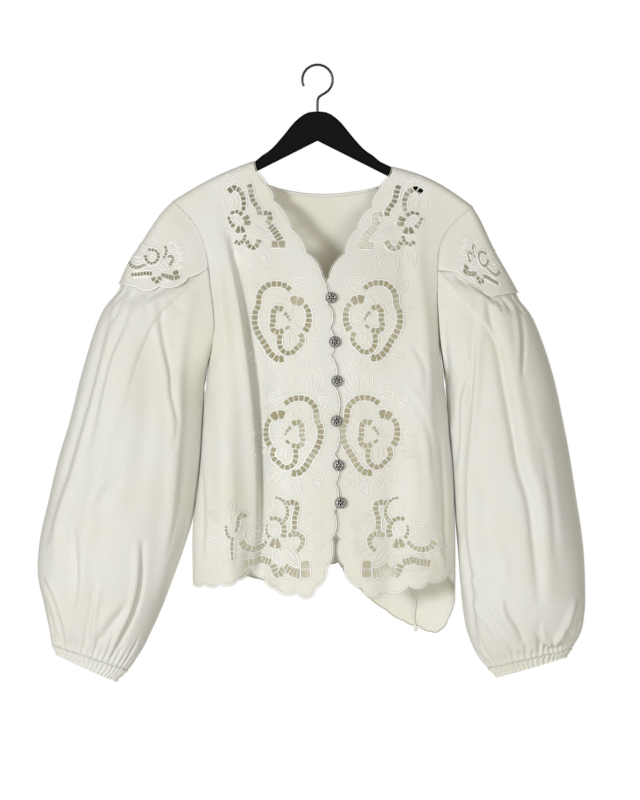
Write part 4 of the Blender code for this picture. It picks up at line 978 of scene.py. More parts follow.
def motif_holes(motif, place):
    """Flat outlines of every cut cell of a motif."""
    return [place(placed(motif, cell)) for chain in motif.design.chains for cell in chain_cells(chain)]


def heading(angle):
    """One millimetre along an angle in degrees."""
    return turned(np.array(((1.0, 0.0),)), angle)[0]


def lay_motif(threads, motif, place, clear, cloth, cells):
    """Lay a motif's stitching: rims of cells, rails, leaves, veins and single stitches."""
    off_cells = off_holes(cells)
    for hole in motif_holes(motif, place):
        threads.lay(hole, 1.0, 0.55, ROUND, closed=True, aside=-0.42 * np.sign(signed_area(hole)))
    design, rows = motif.design, []
    for chain in design.chains:
        line = along_line(chain.points, step=3.0)
        left = left_of(np.gradient(line, axis=0))
        spread = np.linspace(chain.start_width, chain.end_width, len(line))[:, None] / 2 + RAIL_CLEAR
        rows += [(line + left * spread * way, 1.25, 1) for way in (-1, 1)]
    for leaf in design.leaves:
        rows.append((leaf_outline(leaf), 1, 0.8))
        if leaf.width > DOUBLE_LEAF:
            rows.append((leaf_outline(leaf, 0.55), 0.7, 0.5))
        start, way = np.array((leaf.x, leaf.up)), heading(leaf.angle) * leaf.length
        rows.append((np.linspace(start + way * 0.25, start + way * 0.75, 7), 1.1, 0.8))
    for stitch in design.stitches:
        start = np.array((stitch.x, stitch.up))
        rows.append((np.linspace(start, start + heading(stitch.angle) * stitch.length, 7), 1.3, 1))
    rows += [(along_line(line), 1, 0.8) for line in design.lines]
    for path, width_share, height_share in rows:
        path = place(placed(motif, path))
        lay_clipped(threads, path, clear(path) & off_cells(path), cloth.thread_width / MM * width_share,
                    cloth.thread_height / MM * height_share)


def far_from(corners, clearance):
    """Test of which flat places are further than a clearance from every corner."""
    tree = KDTree(len(corners))
    for i, (x, y) in enumerate(corners):
        tree.insert((x, y, 0), i)
    tree.balance()
    return lambda path: np.array([tree.find((x, y, 0))[2] > clearance for x, y in path])


def clear_of(outline, clearance):
    """Test of which flat places are inside an outline and well away from its edge."""
    far = far_from(outline, clearance)
    return lambda path: inside(path, outline) & far(path)


def off_holes(holes):
    """Test of which flat places are outside every hole and clear of its rim."""
    far = far_from(np.concatenate(holes), RIM_CLEAR)
    return lambda path: far(path) & ~in_any(path, holes)


def lay_clipped(threads, path, keep, width, height):
    """Lay the stretches of a thread that are kept."""
    start = None
    for i, on in enumerate(list(keep) + [False]):
        if on and start is None:
            start = i
        if not on and start is not None:
            if i - start > 2:
                threads.lay(path[start:i], width, height, taper=2.0)
            start = None


def front_outline(side):
    """Outline of a front: edge from neck to side, side seam, armhole and shoulder, as x and drop."""
    edge = UPPER_FRONT_EDGE if side == LEFT else UNDER_FRONT_EDGE
    side_x = side * float(half_width(side, SIDE_HEM))
    border = neck_roll(side) + scalloped(edge + [Cusp(side_x, SIDE_HEM, 0)], -side)
    return border, side_and_shoulder(side)


def neck_roll(side):
    """Start of a neck edge, where it turns over the hanger."""
    top = float(shoulder_drop(NECK_X[side]))
    below = [SHOULDER_ROLL * (1 - math.cos(math.radians(angle))) for angle in range(0, 90, 12)]
    return [(NECK_X[side] - side * 0.2 * down, top + down) for down in below]


def side_and_shoulder(side):
    """Outline up the side seam, round the armhole and in along the shoulder."""
    drops = np.linspace(SIDE_HEM, UNDERARM_DROP[side], 60)[1:]
    outline = [(side * float(half_width(side, drop)), drop) for drop in drops]
    for turn in np.linspace(math.pi, 0, 60)[1:-1]:
        x, drop = armhole_place(side, turn, ARMHOLE_SEAM)
        outline.append((float(x), max(float(drop), float(shoulder_drop(x)) + 0.3)))
    tip = ARMHOLE[side][0][1] - side * ARMHOLE_SEAM
    for x in np.linspace(tip, NECK_X[side], 36)[:-1]:
        outline.append((float(x), float(shoulder_drop(x))))
    return outline


def size_of(uv):
    """Width and length in metres of the box round a flat cut."""
    return tuple(float(size) * MM for size in np.ptp(uv, axis=0))


# Materials

def set_inputs(node, values):
    """Give the inputs of a shader node their values, or link those whose value is an output."""
    for name, value in values.items():
        if isinstance(value, bpy.types.NodeSocket):
            node.id_data.links.new(value, node.inputs[name])
        else:
            node.inputs[name].default_value = value


def add_node(owner, kind, values, output, **settings):
    """Output of a new shader node of a material or a world."""
    node = owner.node_tree.nodes.new("ShaderNode" + kind)
    for name, value in settings.items():
        setattr(node, name, value)
    set_inputs(node, values)
    return node.outputs[output]


def new_material(name, values):
    """Material with the shader's plain values."""
    material = bpy.data.materials.new(name)
    material.use_nodes = True
    shader = material.node_tree.nodes["Principled BSDF"]
    set_inputs(shader, values)
    return material, shader


def grain(material, scale, detail=2.0):
    """Noise that stays with the piece."""
    place = add_node(material, "TexCoord", {}, "Object")
    return add_node(material, "TexNoise", {"Vector": place, "Scale": scale, "Detail": detail}, "Fac")


def ranged(material, value, **limits):
    """A value moved from one range to another."""
    ends = {name.replace("_", " ").title(): limit for name, limit in limits.items()}
    return add_node(material, "MapRange", {"Value": value, **ends}, "Result")


def mixed(material, one, two, share, blend="MIX"):
    """Colour between two colours."""
    return add_node(material, "Mix", {"A": one, "B": two, "Factor": share}, "Result",
                    data_type="RGBA", blend_type=blend)


def bumped(material, height, strength, distance, **under):
    """Normal with a relief, over another relief where one is given."""
    relief = {"Height": height, "Strength": strength, "Distance": distance, **under}
    return add_node(material, "Bump", relief, "Normal")


def weave_material(name, color, warm, pitch_mm, bump, roughness, sheen, stripes_only):
    """Plain-woven cotton, or satin stitch where only stripes across the thread show."""
    material, shader = new_material(name, {
        "Roughness": roughness, "Sheen Weight": sheen, "Sheen Roughness": 0.45, "Specular IOR Level": 0.25,
        "Subsurface Weight": 0.2, "Subsurface Scale": 0.002, "Subsurface Radius": (1.0, 0.9, 0.62)})
    cloth_map = add_node(material, "UVMap", {}, "UV", uv_map="cloth")
    waves = [add_node(material, "TexWave", {"Vector": cloth_map, "Scale": 10 / pitch_mm, "Distortion": 1.2,
                                            "Detail": 1.0, "Detail Scale": 0.6}, "Fac",
                      wave_type="BANDS", bands_direction=direction)
             for direction in ("X", "Y")[:1 if stripes_only else 2]]
    height = waves[0]
    if not stripes_only:
        height = add_node(material, "Math", dict(enumerate(waves)), 0, operation="MAXIMUM")
    clouds = ranged(material, grain(material, 9.0, 4.0), from_min=0.35, from_max=0.7)
    tone = mixed(material, (*color, 1), (*warm, 1), clouds)
    tone = mixed(material, tone, grain(material, 700.0), 0.10, "MULTIPLY")
    if stripes_only:
        # painted shade: where the thread is low on its crest, its colour darkens towards the flank shade
        crest = add_node(material, "Attribute", {}, "Fac", attribute_name="crest")
        tone = mixed(material, (*PAINTED_FLANK_SHADE, 1), tone, ranged(material, crest, from_max=0.7, to_min=0.3))
    weave = bumped(material, height, bump, 0.0002)
    crumple = bumped(material, grain(material, 42.0, 5.0), 0.35, 0.0012, Normal=weave)
    set_inputs(shader, {"Base Color": tone, "Normal": crumple})
    return material


def add_painted_glow(material):
    """Painted glow: the finish gives off warm light of its own, by a per-point attribute, standing in for
    light that comes through the fronts onto the inside of the back.
    """
    painted_glow = add_node(material, "Attribute", {}, "Fac", attribute_name="painted_glow")
    glow = add_node(material, "Math", {0: painted_glow, 1: PAINTED_GLOW_STRENGTH}, 0, operation="MULTIPLY")
    set_inputs(material.node_tree.nodes["Principled BSDF"],
               {"Emission Strength": glow, "Emission Color": (*PAINTED_GLOW_COLOR, 1)})


def metal_material(settings):
    """Antique silver, dark in its hollows and bright on its edges."""
    material, shader = new_material("antique_silver", {"Metallic": 1.0})
    relief = add_node(material, "Attribute", {}, "Fac", attribute_name="relief")
    color = add_node(material, "ValToRGB", {"Fac": relief}, "Color")
    ends = color.node.color_ramp.elements
    for element, position, shade in zip(ends, (0.25, 0.75), (settings.hollow_color, settings.metal_color)):
        element.position = position
        element.color = (*shade, 1)
    fine = grain(material, 900.0)
    set_inputs(shader, {"Base Color": color, "Roughness": ranged(material, fine, to_min=0.18, to_max=0.5),
                        "Normal": bumped(material, fine, 0.3, 0.0001)})
    return material


def hanger_material(name, color, metallic, roughness, scale, strength):
    """Satin finish with a fine grain, for the hanger and its hook."""
    material, shader = new_material(name, {"Metallic": metallic, "Specular IOR Level": 0.06})
    fine = grain(material, scale, 3.0)
    light = (*(min(1.0, value * 1.8 + 0.001) for value in color), 1)
    set_inputs(shader, {"Base Color": mixed(material, (*color, 1), light, fine),
                        "Roughness": ranged(material, fine, to_min=roughness * 0.8, to_max=roughness * 1.2),
                        "Normal": bumped(material, fine, strength, 0.0001)})
    return material


def cloth_finish(name):
    """The cotton or thread finish of that name, made once."""
    made = bpy.data.materials.get(name)
    if made:
        return made
    cloth = bpy.context.scene.blouse_cloth
    row = FINISHES[name]
    pitch = cloth.weave_pitch / MM * row.pitch_share
    material = weave_material(name, getattr(cloth, row.color), getattr(cloth, row.second), pitch,
                              row.bump, row.roughness, row.sheen, name == "ivory_thread")
    # the inside finish carries the painted glow
    if name == "inside_cotton_painted_glow":
        add_painted_glow(material)
    return material


# Pieces

def make_front(side):
    """One front: its cut shell and all the stitching that lies on it."""
    cloth = bpy.context.scene.blouse_cloth
    border, rest = front_outline(side)
    outline = to_flat(border + rest)
    allowed_hole = clear_of(outline, 3.0)
    holes = [hole for motif in MOTIFS[side] for hole in motif_holes(motif, to_flat)
             if allowed_hole(hole).all()]
    points, faces = cut_sheet(outline, holes, cloth.grid / MM)
    node = "front_" + WORN_SIDE[side]
    shell = cloth_shell(node, front_point(side, points), faces, points, cloth.wall / MM)
    threads = Threads()
    for motif in MOTIFS[side]:
        lay_motif(threads, motif, to_flat, clear_of(outline, EDGE_CLEAR), cloth, holes)
    trim = Threads()
    edge = to_flat(border)
    trim.lay(edge, 2.4, 0.75, ROUND, taper=2.0, aside=side * 0.9)
    trim.lay(edge, 0.7, 0.3, taper=2.0, aside=side * 3.4)
    trim.lay(to_flat(along_line(DARTS[side])), 1.2, 0.3, taper=4.0)
    pieces = [work.make(node + kind, lambda flat, lift: front_point(side, flat, lift))
              for work, kind in ((threads, "_embroidery"), (trim, "_edging"))]
    state_hung(points, faces, pieces)


def to_flat(seen):
    """Flat places of (x, drop) rows."""
    return flat_place(*np.asarray(seen, float).T)


def make_back():
    """The plain back, with its narrow hem."""
    cloth = bpy.context.scene.blouse_cloth
    hem = scalloped([Cusp(x, drop, 2.0) for x, drop in BACK_HEM], -1, 8)[1:-1]
    corners = [(side * float(half_width(side, drop)), drop)
               for side, (_, drop) in ((LEFT, BACK_HEM[0]), (RIGHT, BACK_HEM[-1]))]
    low = [corners[0]] + hem + [corners[1]]
    neck = neck_roll(LEFT) + along_line(BACK_NECK[1:-1], step=3.0).tolist() + neck_roll(RIGHT)[::-1]
    outline = to_flat(low + side_and_shoulder(RIGHT) + neck[::-1] + side_and_shoulder(LEFT)[::-1])
    points, faces = cut_sheet(outline, [], cloth.grid / MM * 1.3)
    shell = cloth_shell("back", back_point(points), faces, points, cloth.wall / MM)
    paint_glow_on_inner_face(shell, glow_behind_fronts(shell))
    trim = Threads()
    trim.lay(to_flat(low), 1.6, 0.7, ROUND, taper=2.0, aside=-0.8)
    trim.lay(to_flat(low), 0.6, 0.25, taper=2.0, aside=-5.0)
    state_hung(points, faces, [trim.make("back_edging", back_point)])


def paint_glow_on_inner_face(shell, marks):
    """Give the inner face of cloth at the back its own finish, with a painted glow where it is marked."""
    mesh = shell.data
    if sum(marks[face.vertices[0]] * face.normal.y for face in mesh.polygons) < 0:
        mesh.flip_normals()
    mesh.materials.append(cloth_finish("inside_cotton_painted_glow"))
    shell.modifiers["wall"].material_offset = 1
    add_values(shell, "painted_glow", marks)


def glow_behind_fronts(shell):
    """Strength of the painted glow at each place of the back: inside the fronts' outline, stronger further
    down.
    """
    mesh = shell.data
    places = np.empty(len(mesh.vertices) * 3)
    mesh.vertices.foreach_get("co", places)
    x, y, z = places.reshape(-1, 3).T / MM
    seen = np.stack((x, -z), axis=-1)
    behind = np.zeros(len(x), bool)
    for side in (LEFT, RIGHT):
        border, rest = front_outline(side)
        behind |= inside(seen, np.array(border + rest))
    return behind * (0.35 + 0.65 * smooth(180, 330, -z))


def make_neck_binding():
    """Narrow binding inside the back neck, folded and stitched down."""
    rows = BACK_NECK[2:-2]
    xs = np.linspace(rows[0][0] + 4, rows[-1][0] - 4, 80)
    edge = through(rows, xs)
    belows = np.linspace(0.6, 4.4, 6)
    flat = np.concatenate([flat_place(xs, edge + below) for below in belows])
    count = len(xs)
    faces = np.array([(start, start + 1, start + count + 1, start + count)
                      for row in range(len(belows) - 1)
                      for start in range(row * count, (row + 1) * count - 1)])
    out = np.repeat(0.25 * np.sin(np.linspace(0, math.pi, len(belows))), count)
    points = body_point(BACK, flat, -(CAD_WALL + 0.3 + out))
    shell = cloth_shell("neck_binding", points, faces, flat, 0.9, "binding_cotton")
    threads = Threads()
    for below in (1.2, 3.9):
        threads.lay(flat_place(xs, edge + below), 0.6, 0.2, base=0.4)
    stitching = threads.make("neck_binding_stitching",
                             lambda flat, lift: body_point(BACK, flat, -(CAD_WALL + 0.4 + lift)), "binding")
    length = line_length(np.stack((xs, edge), axis=-1)) * MM


def cap_outline(side):
    """Cusps of a cap's front half on its own flat cloth: mm across and reach."""
    seen = sleeve_places(side, [(cusp.x, cusp.drop) for cusp in CAP_EDGE[side]])
    front = [Cusp(0.0, CAP_OUTER_REACH[side], 5.0)]
    front += [Cusp(turn * SLEEVE_SPREAD, reach, cusp.bulge)
              for (turn, reach), cusp in zip(seen, CAP_EDGE[side])]
    front.append(Cusp(CAP_TURN * SLEEVE_SPREAD, 0.9, 0))
    return front


def cap_edge_reach(side, turn):
    """How far down the cap reaches at a turn, without its scallops."""
    cusps = cap_outline(side)
    return np.interp(np.abs(turn) * SLEEVE_SPREAD, [cusp.x for cusp in cusps],
                     [cusp.drop for cusp in cusps], right=0)


def cap_point(side, flat, lift=0.0):
    """Points of a cap at places on its flat cloth."""
    turn, reach = flat[:, 0] / SLEEVE_SPREAD, np.maximum(flat[:, 1], 0)
    return sleeve_point(side, turn, reach, lift + CAP_LIFT * smooth(0, 25, reach))


def make_cap(side):
    """Cap over the shoulder with its cutwork and scalloped edge."""
    cloth = bpy.context.scene.blouse_cloth
    edge = scalloped(cap_outline(side), -1)
    border = edge[::-1] + [(-x, reach) for x, reach in edge[1:]]
    top = [(x, 0.0) for x in np.linspace(-CAP_TURN, CAP_TURN, 80)[1:-1] * SLEEVE_SPREAD]
    outline = np.array(border + top)

    def place(seen):
        """Flat places of (x, drop) rows."""
        return sleeve_places(side, seen) * (SLEEVE_SPREAD, 1)

    allowed_hole = clear_of(outline, 2.5)
    holes = [hole for hole in motif_holes(CAP_MOTIF[side], place) if allowed_hole(hole).all()]
    points, faces = cut_sheet(outline, holes, cloth.grid / MM)
    node = "cap_" + WORN_SIDE[side]
    shell = cloth_shell(node, cap_point(side, points), faces, points, cloth.wall / MM)
    # painted glow on the inner face of the cap's back half
    paint_glow_on_inner_face(shell, 0.8 * smooth(0, -12, points[np.unique(faces), 0]))
    threads = Threads()
    lay_motif(threads, CAP_MOTIF[side], place, clear_of(outline, 4.0), cloth, holes)
    threads.lay(np.array(border), 2.4, 0.75, ROUND, taper=2.0, aside=0.9)
    threads.lay(np.array(top), 1.4, 0.4, taper=3.0, aside=1.6)
    stitching = threads.make(node + "_embroidery", lambda flat, lift: cap_point(side, flat, lift))
    state_hung(points, faces, [stitching])


def sleeve_lift(side, turn, reach, edge):
    """Height of the sleeve's folds and gathers out of its smooth surface."""
    end = REACHES[side][-2]
    degrees = np.degrees((turn + math.pi) % (2 * math.pi) - math.pi)
    past = reach - edge
    covered = edge > 5
    lift = PUFF * smooth(10, 45, past) * covered * (1 - smooth(120, 300, past))
    lift = lift - 1.2 * (1 - smooth(10, 30, past)) * smooth(0, 25, edge)
    share = reach / end
    for fold in SLEEVE_FOLDS:
        middle = fold.top + (fold.low - fold.top) * smooth(fold.start, fold.end, share)
        away = (degrees - middle + 180) % 360 - 180
        window = smooth(fold.start, fold.start + 0.16, share)
        window = window * (1 - smooth(fold.end - 0.14, fold.end, share))
        across = np.radians(away) * SLEEVE_SPREAD
        lift = lift - fold.depth * window * np.exp(-(across / fold.width) ** 2)
        lift = lift + 0.35 * fold.depth * window * np.exp(-((np.abs(across) - 1.8 * fold.width)
                                                            / fold.width) ** 2)
    plain = sleeve_surface(side, turn, reach)[:, [0, 2]]
    facing = smooth(0, 0.3, np.sin(turn)) * smooth(-4, 12, past) * smooth(0, 8, end - reach)
    lift = lift + crease_lift(SLEEVE_CREASES[side], plain) * facing
    # rows, how far along, where, turn between the two faces, half width, full share, easing in
    kinds = ((CAP_GATHERS, past, covered, 1.5, GATHER_WIDTH, 0.35, (-2, 14)),
             (CUFF_GATHERS, end - reach, 1, 2.5, GATHER_WIDTH * 1.25, 0.3, (-1, 9)))
    for face in (1, -1):
        for gathers, along, where, skew, width, full, ease in kinds:
            for gather in gathers:
                across = np.radians(degrees - face * (gather.turn + skew * (face < 0))) * SLEEVE_SPREAD
                window = (1 - smooth(full * gather.length, gather.length, along)) * where
                lift = lift - gather.depth * window * smooth(*ease, along) * np.exp(-(across / width) ** 2)
    return lift


def make_sleeve(side):
    """Balloon sleeve, gathered under the cap and into the cuff."""
    cloth = bpy.context.scene.blouse_cloth
    turns = np.linspace(-math.pi, math.pi, SLEEVE_COLUMNS, endpoint=False)
    edge = cap_edge_reach(side, turns)
    top = np.where(edge > 0, edge - CAP_OVERLAP * smooth(25, 45, edge) + 0.9, 0.0)
    end = REACHES[side][-2]
    shares = np.linspace(0, 1, SLEEVE_ROWS) ** 0.95
    turn = np.tile(turns, SLEEVE_ROWS)
    reach = (top[None] + (end - top[None]) * shares[:, None]).ravel()
    lift = sleeve_lift(side, turn, reach, np.tile(edge, SLEEVE_ROWS))
    points = sleeve_point(side, turn, reach, lift)
    faces = ring_faces(SLEEVE_COLUMNS, SLEEVE_ROWS)
    uv = np.stack((turn * SLEEVE_SPREAD * 1.15, reach), axis=-1)
    shell = cloth_shell("sleeve_" + WORN_SIDE[side], points, faces, uv, cloth.wall / MM)
    state_gathered(points, faces)


def ring_faces(columns, rows):
    """Quads of a tube of rings."""
    return np.array([(row * columns + i, row * columns + (i + 1) % columns,
                      (row + 1) * columns + (i + 1) % columns, (row + 1) * columns + i)
                     for row in range(rows - 1) for i in range(columns)])


def make_cuff(side):
    """Narrow elastic cuff, ruched all round, with two rows of elastic."""
    cloth = bpy.context.scene.blouse_cloth
    columns = CUFF_WAVES * 8
    start, end = REACHES[side][-2] - 0.5, REACHES[side][-1]
    turns = np.linspace(-math.pi, math.pi, columns, endpoint=False)
    drift = 0.9 * np.sin(3 * turns) + 0.6 * np.sin(7 * turns + 1.0)
    points, uv = [], []
    for share in np.linspace(0, 1, CUFF_ROWS):
        wave = np.sin(CUFF_WAVES * turns + drift + 0.5 * math.sin(9 * share))
        channel = min(abs(share - at) for at in CUFF_CHANNELS)
        ease = 0.45 + 0.55 * float(smooth(0.0, 0.14, channel))
        flare = float(smooth(0.78, 1.0, share))
        reach = start + (end - start) * share
        lift = CUFF_SINK * wave * ease + flare - CUFF_PINCH * (1 - ease)
        points.append(sleeve_point(side, turns, reach, lift))
        uv.append(np.stack((turns * SLEEVE_SPREAD, np.full(columns, reach)), axis=-1))
    points, faces = np.concatenate(points), ring_faces(columns, CUFF_ROWS)
    shell = cloth_shell("cuff_" + WORN_SIDE[side], points, faces, np.concatenate(uv), cloth.wall / MM)
    state_gathered(points, faces)


def button_height(radius, angle, settings):
    """Relief of a button: domed middle with petals, a pierced ring and a beaded rim."""
    share = radius / (settings.radius / MM)
    top = settings.height / MM
    dome = top * np.sqrt(np.clip(1 - (share / 1.06) ** 2, 0, 1)) * 0.78 + 0.5
    petals = 0.55 * np.cos(6 * angle) * smooth(0.12, 0.34, share) * (1 - smooth(0.5, 0.66, share))
    ring = 0.5 * np.exp(-((share - 0.66) / 0.055) ** 2)
    beads = 0.6 * np.abs(np.cos(11 * angle)) * np.exp(-((share - 0.85) / 0.09) ** 2)
    middle = 0.8 * np.exp(-(share / 0.14) ** 2)
    return dome + petals + ring + beads + middle, petals + ring + beads + middle


def make_button(number, x, drop, material):
    """One ornate metal button on the upper front."""
    settings = bpy.context.scene.blouse_buttons
    seat = body_point(FRONT, flat_place(x, drop)[None])[0]
    seat[1] -= OVERLAP_LIFT * float(smooth(*OVERLAP_X, x))
    spokes, rings = BUTTON_SPOKES, BUTTON_RINGS
    radii = np.concatenate(([0.02], np.linspace(0.06, 1, rings - 1))) * settings.radius / MM
    angles = np.linspace(0, 2 * math.pi, spokes, endpoint=False)
    angle, radius = np.meshgrid(angles + number * 0.4, radii)
    height, relief = button_height(radius, angle, settings)
    height[-1] = 0.9
    points = np.stack((radius * np.cos(angle), -height, radius * np.sin(angle)), axis=-1).reshape(-1, 3)
    under = points[-spokes:] * (0.93, 0, 0.93)
    centre_top = np.array(((0, points[:spokes, 1].mean(), 0),))
    points = np.concatenate((points, under, centre_top, np.zeros((1, 3))))
    faces = ring_faces(spokes, rings + 1).tolist()
    top, low = len(points) - 2, len(points) - 1
    for i in range(spokes):
        faces.append((top, (i + 1) % spokes, i))
        faces.append((rings * spokes + i, rings * spokes + (i + 1) % spokes, low))
    points = points + (seat[0], seat[1] - CAD_WALL / 2 - BUTTON_GAP, seat[2])
    obj = new_mesh("button_%d_relief" % number, points, faces)
    values = np.concatenate((relief.ravel(), np.zeros(spokes), [0.8, 0.0]))
    add_values(obj, "relief", np.clip(values / 0.7 + 0.1, 0, 1))
    face_outwards(obj)
    join_part(obj, material, "button_%d" % number)


def tie_points():
    """Route of the tie in millimetres, just inside the back."""
    at = np.linspace(0, len(TIE_ROUTE) - 1, TIE_POINTS)
    x, drop = (through(list(enumerate(column)), at) for column in zip(*TIE_ROUTE))
    return body_point(BACK, flat_place(x, drop), -(CAD_WALL / 2 + 0.3 + TIE_RADIUS))


def make_tie():
    """Thin tie at the hem, with the knot on its end."""
    route = tie_points()
    curve = bpy.data.curves.new("hem_tie_cord", "CURVE")
    curve.dimensions = "3D"
    curve.bevel_depth = TIE_RADIUS * MM
    curve.bevel_resolution = 4
    curve.use_fill_caps = True
    spline = curve.splines.new("POLY")
    spline.points.add(len(route) - 1)
    for point, place in zip(spline.points, metres(route)):
        point.co = (*place, 1)
    tie = bpy.data.objects.new("hem_tie_cord", curve)
    bpy.context.scene.collection.objects.link(tie)
    join_part(tie, cord_finish(), "hem_tie")
    end, before = route[-1], route[-2]
    way = unit(end - before)
    knot = make_knot(end + way * (KNOT_RADIUS + 0.3), way)
    length = line_length(metres(route))
    tuple(metres(route)[0])


def make_knot(centre, way):
    """Overhand knot: a fat cord wound round itself in a trefoil."""
    t = np.linspace(0, 2 * math.pi, 60, endpoint=False)
    size = KNOT_RADIUS * 0.34
    loop = np.stack((np.sin(t) + 2 * np.sin(2 * t), np.cos(t) - 2 * np.cos(2 * t), -np.sin(3 * t)), axis=-1)
    side = unit(np.cross(way, (0, 1, 0)))
    axes = np.stack((way, side, np.cross(way, side)))
    line = centre + (loop * (size * 0.62, size * 0.62, size)) @ axes
    ring = 10
    points = []
    for i, place in enumerate(line):
        run = unit(line[(i + 1) % len(line)] - line[i - 1])
        one = unit(np.cross(run, (0.3, 0.9, 0.2)))
        two = np.cross(run, one)
        for angle in np.linspace(0, 2 * math.pi, ring, endpoint=False):
            points.append(place + 1.25 * (math.cos(angle) * one + math.sin(angle) * two))
    faces = [(i * ring + j, i * ring + (j + 1) % ring, (i + 1) % len(line) * ring + (j + 1) % ring,
              (i + 1) % len(line) * ring + j) for i in range(len(line)) for j in range(ring)]
    knot = new_mesh("hem_tie_knot_cord", np.array(points), faces)
    join_part(knot, cord_finish(), "hem_tie_knot")
    return knot


def cord_finish():
    """Cotton cord with a fine twist, made once."""
    made = bpy.data.materials.get("cotton_cord")
    if made:
        return made
    cloth = bpy.context.scene.blouse_cloth
    material, shader = new_material("cotton_cord", {"Roughness": 0.8, "Sheen Weight": 0.2})
    place = add_node(material, "TexCoord", {}, "Object")
    twist = add_node(material, "TexWave", {"Vector": place, "Scale": 300.0, "Distortion": 0.6}, "Fac",
                     bands_direction="DIAGONAL")
    tone = mixed(material, (*cloth.warm_color, 1), (*cloth.thread_color, 1), twist)
    set_inputs(shader, {"Base Color": tone, "Normal": bumped(material, twist, 1.0, 0.0003)})
    return material


def finish_hanger():
    """Satin black on the hanger and dark plating on its hook."""
    for node, row in HANGER_FINISHES.items():
        material = hanger_material(*row)
        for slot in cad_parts[node].material_slots:
            slot.material = material


def make_stage():
    """Pale floor, soft lights, white surroundings and the camera."""
    stage = bpy.context.scene.blouse_stage
    scene = bpy.context.scene
    floor_mesh = bpy.data.meshes.new("floor")
    half, level = 1.6, -stage.floor_drop
    floor_mesh.from_pydata([(-half, -half, level), (half, -half, level), (half, half, level),
                            (-half, half, level)], [], [(0, 1, 2, 3)])
    floor = bpy.data.objects.new("floor", floor_mesh)
    scene.collection.objects.link(floor)
    floor_mesh.materials.append(floor_finish(stage))
    for name, place, size, share, color in LIGHTS:
        data = bpy.data.lights.new(name, "AREA")
        data.energy, data.color, data.size = stage.key_power * share, color, size
        light = bpy.data.objects.new(name, data)
        light.location = place
        light.rotation_euler = (Vector(LIGHT_AIM) - Vector(place)).to_track_quat("-Z", "Y").to_euler()
        scene.collection.objects.link(light)
    world = bpy.data.worlds.new("studio")
    world.use_nodes = True
    background = world.node_tree.nodes["Background"]
    set_inputs(background, {"Color": (*stage.world_color, 1), "Strength": stage.world_strength})
    seen = add_node(world, "Background", {"Color": (1, 1, 1, 1)}, "Background")
    rays = add_node(world, "LightPath", {}, "Is Camera Ray")
    lit = background.outputs["Background"]
    either = add_node(world, "MixShader", {"Fac": rays, 1: lit, 2: seen}, "Shader")
    set_inputs(world.node_tree.nodes["World Output"], {"Surface": either})
    scene.world = world
    data = bpy.data.cameras.new("camera")
    data.sensor_width = 36.0
    data.lens = stage.lens
    camera = bpy.data.objects.new("camera", data)
    camera.location = (CAMERA_X, -stage.camera_distance, CAMERA_Z)
    camera.rotation_euler = (math.pi / 2, 0, 0)
    scene.collection.objects.link(camera)
    scene.camera = camera
    scene.view_settings.view_transform = "Standard"


def floor_finish(stage):
    """Matt pale floor with a faint unevenness."""
    material, shader = new_material("pale_floor", {"Roughness": 0.9})
    clouds = add_node(material, "TexNoise", {"Scale": 3.0}, "Fac")
    shade = (*(value * 0.97 for value in stage.floor_color), 1)
    set_inputs(shader, {"Base Color": mixed(material, (*stage.floor_color, 1), shade, clouds)})
    return material


# Settings

class BlouseCloth(bpy.types.PropertyGroup):
    """Sizes and colours of the cloth and its stitching."""
    color: FloatVectorProperty(name="Cloth colour", description="Colour of the cotton", subtype="COLOR",
                               size=3, min=0, max=1, default=(0.75, 0.755, 0.73))
    warm_color: FloatVectorProperty(name="Aged colour", description="Warmer tone that clouds the cotton",
                                    subtype="COLOR", size=3, min=0, max=1, default=(0.73, 0.72, 0.655))
    thread_color: FloatVectorProperty(name="Thread colour", description="Colour of the embroidery",
                                      subtype="COLOR", size=3, min=0, max=1, default=(0.92, 0.92, 0.885))
    wall: FloatProperty(name="Cloth thickness", description="Thickness of the cotton", unit="LENGTH",
                        default=0.0007, min=0.0003, max=0.0012)
    grid: FloatProperty(name="Mesh step", description="Spacing of the points in a cut panel",
                        unit="LENGTH", default=0.0028, min=0.0015, max=0.01)
    weave_pitch: FloatProperty(name="Weave pitch", description="Distance between two threads",
                               unit="LENGTH", default=0.0006, min=0.0002, max=0.003)
    thread_width: FloatProperty(name="Stitch width", description="Width of a line of satin stitch",
                                unit="LENGTH", default=0.0023, min=0.0005, max=0.003)
    thread_height: FloatProperty(name="Stitch height", description="How far a line of stitching stands out",
                                 unit="LENGTH", default=0.001, min=0.0001, max=0.0015)


class BlouseButtons(bpy.types.PropertyGroup):
    """Sizes and colours of the buttons."""
    radius: FloatProperty(name="Radius", description="Radius of a button", unit="LENGTH", default=0.0075,
                          min=0.004, max=0.012)
    height: FloatProperty(name="Height", description="Height of the dome", unit="LENGTH", default=0.0050,
                          min=0.002, max=0.007)
    metal_color: FloatVectorProperty(name="Metal", description="Colour of the polished metal",
                                     subtype="COLOR", size=3, min=0, max=1, default=(0.62, 0.61, 0.60))
    hollow_color: FloatVectorProperty(name="Patina", description="Colour of the dark hollows",
                                      subtype="COLOR", size=3, min=0, max=1, default=(0.03, 0.03, 0.032))


